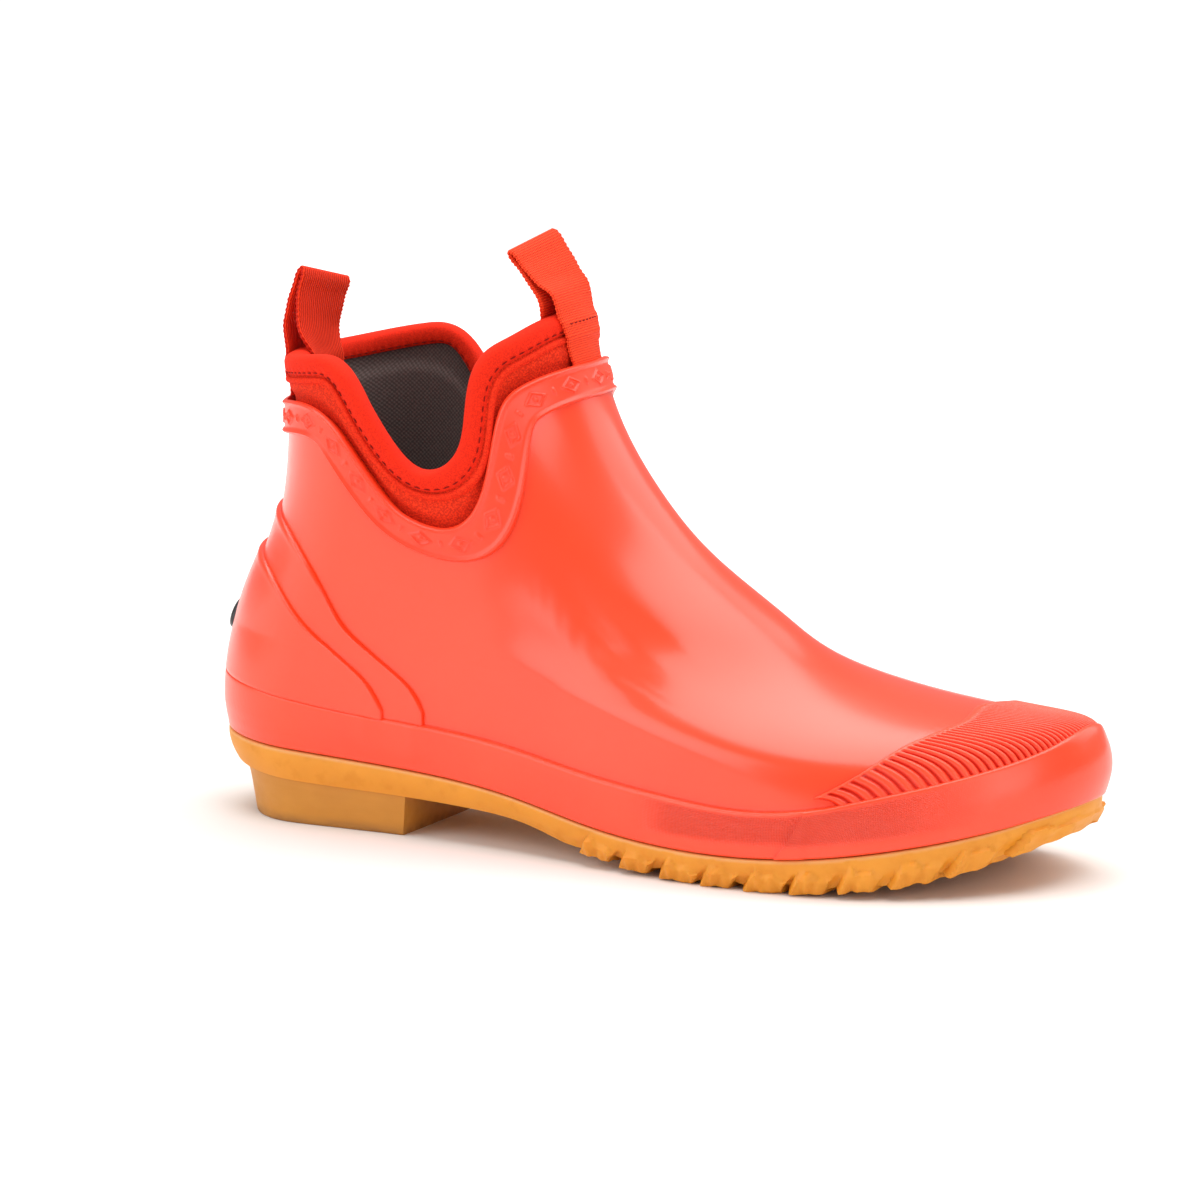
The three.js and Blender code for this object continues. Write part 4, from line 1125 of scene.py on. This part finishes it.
def seam(offset):
    """Dashes for every stitch along the collar, at an offset from the last."""
    places = np.arange(stitches)[:, None] + 0.5 + np.array([-DASH_SHARE / 2, DASH_SHARE / 2])
    turn = np.interp(places, collar_run, collar_turn)
    return dashes(below(collar_top, turn, SEAM_DEPTH, offset), THREAD)


piece(
    "binding_stitch_line", seam(SLOT_OUT + 0.92) + seam(SLOT_IN - 0.85), thread,
    stands_for=["binding_stitching"], crease=80,
)

# ---- Collar piping -------------------------------------------------------------------
# A thin rolled cord of the binding's knit, sewn flat under it. It runs round the collar
# as a raised line on the neoprene.
PIPE_MIDDLE = 7.35
PIPE_HALF = 1.0
PIPE_TWIST = 2.2

angle = np.linspace(0, np.pi, 12)
pipe_w = PIPE_MIDDLE + PIPE_HALF * np.cos(angle)
pipe_d = SLOT_OUT - 0.25 + 1.45 * np.sin(angle) ** 0.8
pipe_w = np.concatenate([pipe_w, [PIPE_MIDDLE - 0.4, PIPE_MIDDLE + 0.4]])
pipe_d = np.concatenate([pipe_d, [SLOT_OUT - 0.3, SLOT_OUT - 0.3]])
pipe_turn = np.linspace(0, 2, 900, endpoint=False)
pipe_run = round_run(below(collar_top, pipe_turn, PIPE_MIDDLE, 0))
twist = np.sin(2 * np.pi * pipe_run / PIPE_TWIST)[None] * np.sin(np.linspace(0, np.pi, len(pipe_w)))[:, None]
pipe = below(collar_top, pipe_turn[None], pipe_w[:, None], pipe_d[:, None] + 0.06 * twist)
piping_knit = finish("piping_knit", knit_recipe(colour(244, 58, 26), colour(198, 28, 10)), {
    "Specular IOR Level": 0.15,
})
piece(
    "piping_cord", [tube(pipe, True)], piping_knit, stands_for=["collar_piping"],
    crease=60,
)

# ---- Pull loops ----------------------------------------------------------------------
# Each loop is one length of webbing: it comes up from under the collar band, crosses
# the binding, folds over at the top and is sewn down inside. A bar tack holds the
# front one.
TAPE_HALF = 11
TAPE = 1.25
TAPE_CELL = 1.5
TAPE_POINTS = 33
TAPE_MIDDLE = 16
TAPE_PARTS = (0.1, 0.3, 0.52, 0.74, 0.91)
WEB = colour(252, 74, 32)
WEB_DEEP = colour(206, 34, 10)


def web_recipe(light, deep, diamond):
    def recipe(place):
        u = mark(place, "across") * (2 * math.pi / (TAPE_CELL * 0.9))
        v = mark(place, "along") * (2 * math.pi / TAPE_CELL)
        twill = u.maths("SINE", u + v) * u.maths("SINE", u - v) if diamond else u.maths("SINE", u * 1.5)
        cells = twill * 0.5 + 0.5
        yarn = noise(place, 0.3, 2)
        return {
            "Base Color": tint(between(cells + (yarn - 0.5) * 0.5, 0.1, 0.75), deep, light),
            "Roughness": 0.6 + 0.2 * yarn,
            "Normal": relief(cells * 0.8 + yarn * 0.2, 0.3, 0.9),
        }
    return recipe


def turn_length(h, t):
    """How many millimetres one unit of t measures at a place."""
    return np.linalg.norm(at(h, t + 0.01) - at(h, t - 0.01)) / 0.02


def webbing(name, nodes, middle, hinge, tip, fold, belly, tails, material, swell):
    """A loop of tape on the collar at t = middle, hinged where it leaves the binding."""
    share = np.linspace(-1, 1, TAPE_POINTS)
    turn = middle + share * TAPE_HALF / turn_length(collar_top(middle), middle)
    face = SLOT_OUT + BINDING_OUT + TAPE / 2 + 0.05
    inside = SLOT_IN - BINDING_IN - TAPE / 2 - 0.05
    axis = tip - hinge
    wide = np.array([0.0, -1.0 if middle < 0.5 else 1.0, 0.0])
    fold_wide = fold * wide[1]

    def free(part, way):
        side = wide + (fold_wide - wide) * part**0.8 + [0.06 * wide[1] * np.sin(np.pi * part), 0, 0]
        side /= np.linalg.norm(side)
        out = np.cross(axis, side)
        out /= np.linalg.norm(out)
        gap = way * swell[way < 0](part)
        centre = hinge + axis * part + out * (gap + belly * np.sin(np.pi * part))
        return centre + side * share[:, None] * TAPE_HALF

    outside = (
        (tails[0], FABRIC_OUT + 0.9), (tails[0] - 3, FABRIC_OUT + 0.95), (8.9, FABRIC_OUT + 1.5),
        (7.2, SLOT_OUT + 1.25 + TAPE / 2), (5.2, face - 0.1), (3.0, face + 0.05), (0.9, face - 0.5),
    )
    back = ((0.9, inside + 0.5), (3.0, inside), (6.2, inside + 0.2), (tails[1], inside + 0.9))
    knots = np.stack([
        *[below(collar_top, turn, w, d) for w, d in outside],
        *[free(part, 1) for part in TAPE_PARTS],
        free(1.0, 0),
        *[free(part, -1) for part in TAPE_PARTS[::-1]],
        *[below(collar_top, turn, w, d) for w, d in back],
    ])
    chord = np.sqrt(np.linalg.norm(np.diff(knots[:, TAPE_MIDDLE], axis=0), axis=-1)).cumsum()
    knot_at = np.concatenate([[0], chord])
    fine = np.linspace(0, knot_at[-1], 460)
    lines = [curve(*zip(knot_at, values))(fine) for values in knots.reshape(len(knots), -1).T]
    line = np.stack(lines, -1).reshape(len(fine), TAPE_POINTS, 3)
    along = np.linalg.norm(np.diff(line[:, TAPE_MIDDLE], axis=0), axis=-1).cumsum()
    along = np.concatenate([[0], along])[:, None]
    centre = line[:, TAPE_MIDDLE:TAPE_MIDDLE + 1]
    scallop = 1 + 0.017 * np.cos(2 * np.pi * along / TAPE_CELL) * np.abs(share) ** 6
    line = centre + (line - centre) * scallop[..., None]
    out = np.cross(np.gradient(line, axis=0), np.gradient(line, axis=1))
    out /= np.linalg.norm(out, axis=-1, keepdims=True)
    thick = TAPE / 2 * (0.35 + 0.65 * quarter((1 - np.abs(share)) / 0.07))[None, :, None]
    loop = np.concatenate([line + out * thick, (line - out * thick)[:, ::-1]], 1)
    width = loop.shape[1]
    caps = [cap(np.arange(width) + row * width) for row in (0, len(fine) - 1)]
    faces = np.concatenate([net(len(fine), width, round_cols=True), *caps])
    across = np.concatenate([share, share[::-1]]) * TAPE_HALF
    made = piece(
        name, [(loop, faces)], material, body=None, stands_for=nodes, crease=60,
        marks={"across": across + 0 * along, "along": along + 0 * across},
    )
    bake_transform(made)
    return line, out


def joint_place(name):
    place = next(j for j in frame["joints"] if j["name"] == name)
    return np.array(place["pos_m"], float) * 1000


front_web = finish("front_webbing", web_recipe(WEB, WEB_DEEP, True), {"Specular IOR Level": 0.2})
front_hinge = joint_place("front_loop_hinge")
front_out = curve((0, 3.2), (0.12, 2.5), (0.35, 1.4), (0.6, 1.0), (0.85, 0.9), (0.95, 0.78), (1, 0))
front_in = curve((0, 3.2), (0.12, 2.4), (0.35, 1.3), (0.6, 1.0), (0.85, 0.9), (0.95, 0.78), (1, 0))
tape, tape_out = webbing(
    "front_loop_webbing", ["front_pull_loop", "front_loop_ends"], 0.0, front_hinge,
    np.array([58.6, 0.0, 178.5]), np.array([0.19, 0.95, 0.2]), 0.5, (16.5, 9.5), front_web,
    (front_out, front_in),
)
TACK_HEIGHT = 156
TACK_THREAD = 0.5
tack_row = int(np.argmin(np.abs(tape[:len(tape) // 2, TAPE_MIDDLE, 2] - TACK_HEIGHT)))
facing = 1 if tape_out[tack_row, TAPE_MIDDLE, 0] > 0 else -1
tack_face = tape[tack_row] + facing * tape_out[tack_row] * TAPE / 2
cells = np.arange(5, 28, 3)
tack = dashes(np.stack([tack_face[cells], tack_face[cells + 2]], 1), TACK_THREAD)
piece("front_bar_tack", tack, thread, crease=80)

rear_web = finish("rear_webbing", web_recipe(colour(250, 60, 20), colour(196, 28, 8), False), {
    "Specular IOR Level": 0.2,
})
rear_hinge = joint_place("rear_loop_hinge")
rear_out = curve((0, 3.6), (0.12, 3.2), (0.35, 2.4), (0.6, 1.7), (0.85, 1.1), (0.95, 0.85), (1, 0))
rear_in = curve((0, 3.4), (0.12, 2.7), (0.35, 1.8), (0.6, 1.3), (0.85, 1.0), (0.95, 0.8), (1, 0))
webbing(
    "rear_loop_webbing", ["rear_pull_loop", "rear_loop_ends"], 1.0, rear_hinge, np.array([-12.0, 0.0, 164.0]),
    np.array([0.22, 0.94, -0.26]), 0.8, (13.5, 9.5), rear_web, (rear_out, rear_in),
)

# ---- Heel badge ----------------------------------------------------------------------
# A small oval of black rubber set on the counter patch, with a raised rim, and in its
# middle a separate orange disc with a domed bead.
BADGE_HEIGHT = 34
BADGE_ACROSS = 11
BADGE_TALL = 6.3
BEAD_HALF = 3.2


def button(name, node, across, tall, base, face, material):
    """An oval laid on the heel: face gives its thickness over the share of its radius."""
    shares = np.concatenate([np.linspace(0.02, 0.9, 22), [0.93, 0.96, 0.98, 0.995, 1, 1, 0.7, 0.35, 0.02]])
    share = shares[:, None]
    turn = np.linspace(0, 2 * np.pi, 72, endpoint=False)
    rise = face(share)
    rise[-4:] = 0
    h = BADGE_HEIGHT + share * tall * np.sin(turn)
    rings = at(h, 1 + share * across * np.cos(turn) / turn_length(BADGE_HEIGHT, 1), base + rise)
    rings[0] = rings[0].mean(0)
    rings[-1] = rings[-1].mean(0)
    piece(name, [tube(rings)], material, stands_for=[node], crease=50)


def badge_recipe(light, deep):
    def recipe(place):
        grain = noise(place, 0.4, 3)
        return {
            "Base Color": tint(noise(place, 4), deep, light),
            "Roughness": 0.35 + 0.2 * grain,
            "Normal": relief(grain, 0.05, 0.5),
        }
    return recipe


black = badge_recipe(colour(34, 32, 34), colour(16, 15, 17))
button(
    "oval_badge", "heel_badge", BADGE_ACROSS, BADGE_TALL, SECOND_LAYER + 0.02,
    lambda s: 1.35 * quarter((1 - s) / 0.12) + 0.3 * hump((s - 0.86) / 0.05),
    finish("badge_rubber", black, {"Coat Weight": 0.2}),
)
orange = badge_recipe(colour(242, 130, 50), colour(220, 96, 30))
button(
    "badge_bead", "badge_disc", BEAD_HALF, BEAD_HALF, SECOND_LAYER + 1.3,
    lambda s: 0.75 * quarter((1 - s) / 0.2) + 0.25 * hump(s / 0.35),
    finish("badge_dot", orange, {"Coat Weight": 0.4}),
)

# ---- Floor, light and camera -----------------------------------------------------------
# A white sweep in a bright studio: broad soft boxes to the left, the right, above and
# behind. The glossy rubber mirrors the gaps between them as darker streaks.
HALF_FLOOR = 1.0
FLOOR_GLOW = 0.4
ROOM_LIGHT = 0.34
WHITE_SEEN = 0.76
TARGET = Vector((0.1, 0, 0.095))
AIM_RIGHT = -0.01625
AIM_UP = -0.0214
AZIMUTH = math.radians(27.5)
ELEVATION = math.radians(11)
DISTANCE = 2.5
LENS = 251.9
SENSOR = 36


def floor_recipe(place):
    length = place.node("ShaderNodeVectorMath", {"operation": "LENGTH"}, {0: place}, "Value")
    away = between(length, 0.3, 0.8)
    return {
        "Base Color": tint(noise(place, 400), colour(238, 236, 233), colour(235, 233, 230)),
        "Roughness": 0.75 + 0.1 * noise(place, 60),
        "Emission Color": tint(away, (0, 0, 0, 1), (1, 1, 1, 1)),
    }


floor_mesh = bpy.data.meshes.new("floor")
corners = [(HALF_FLOOR * x, HALF_FLOOR * y, 0) for x, y in ((-1, -1), (1, -1), (1, 1), (-1, 1))]
floor_mesh.from_pydata(corners, [], [(0, 1, 2, 3)])
floor = bpy.data.objects.new("floor", floor_mesh)
white_floor = finish("white_floor", floor_recipe, {"Specular IOR Level": 0.2, "Emission Strength": FLOOR_GLOW})
floor_mesh.materials.append(white_floor)
bpy.context.scene.collection.objects.link(floor)

world = bpy.data.worlds.new("studio")
world.use_nodes = True
bpy.context.scene.world = world
background = world.node_tree.nodes["Background"]
seen = Wire(world.node_tree, None).node("ShaderNodeLightPath", output="Is Camera Ray")
strength = ROOM_LIGHT + WHITE_SEEN * seen
world.node_tree.links.new(strength.socket, background.inputs["Strength"])
background.inputs["Color"].default_value = (1, 1, 1, 1)


def place_facing(name, data, place, way):
    """Puts a light or a camera at a place, looking along way."""
    made = bpy.data.objects.new(name, data)
    made.location = place
    made.rotation_mode = "QUATERNION"
    made.rotation_quaternion = way.to_track_quat("-Z", "Y")
    bpy.context.scene.collection.objects.link(made)
    return made


boxes = (
    ("left_box", (-1.15, -1.35, 0.85), 1.9, 1.5, 21), ("right_box", (1.6, -0.9, 0.5), 1.0, 0.9, 7),
    ("top_box", (0.15, 0.15, 1.6), 2.2, 1.8, 40), ("back_box", (1.1, 1.2, 1.1), 1.6, 1.2, 11),
)
for name, place, width, height, power in boxes:
    lamp = bpy.data.lights.new(name, "AREA")
    lamp.shape = "RECTANGLE"
    lamp.size = width
    lamp.size_y = height
    lamp.energy = power
    place_facing(name, lamp, place, Vector((0.1, 0, 0.08)) - Vector(place))

level_back = Vector((math.sin(AZIMUTH), -math.cos(AZIMUTH), 0))
back = level_back * math.cos(ELEVATION) + Vector((0, 0, math.sin(ELEVATION)))
right = Vector((math.cos(AZIMUTH), math.sin(AZIMUTH), 0))
aim = TARGET + right * AIM_RIGHT + back.cross(right) * AIM_UP
lens = bpy.data.cameras.new("camera")
lens.lens = LENS
lens.sensor_width = SENSOR
camera = place_facing("camera", lens, aim + back * DISTANCE, -back)
bpy.context.scene.camera = camera
bpy.context.scene.view_settings.view_transform = "Standard"
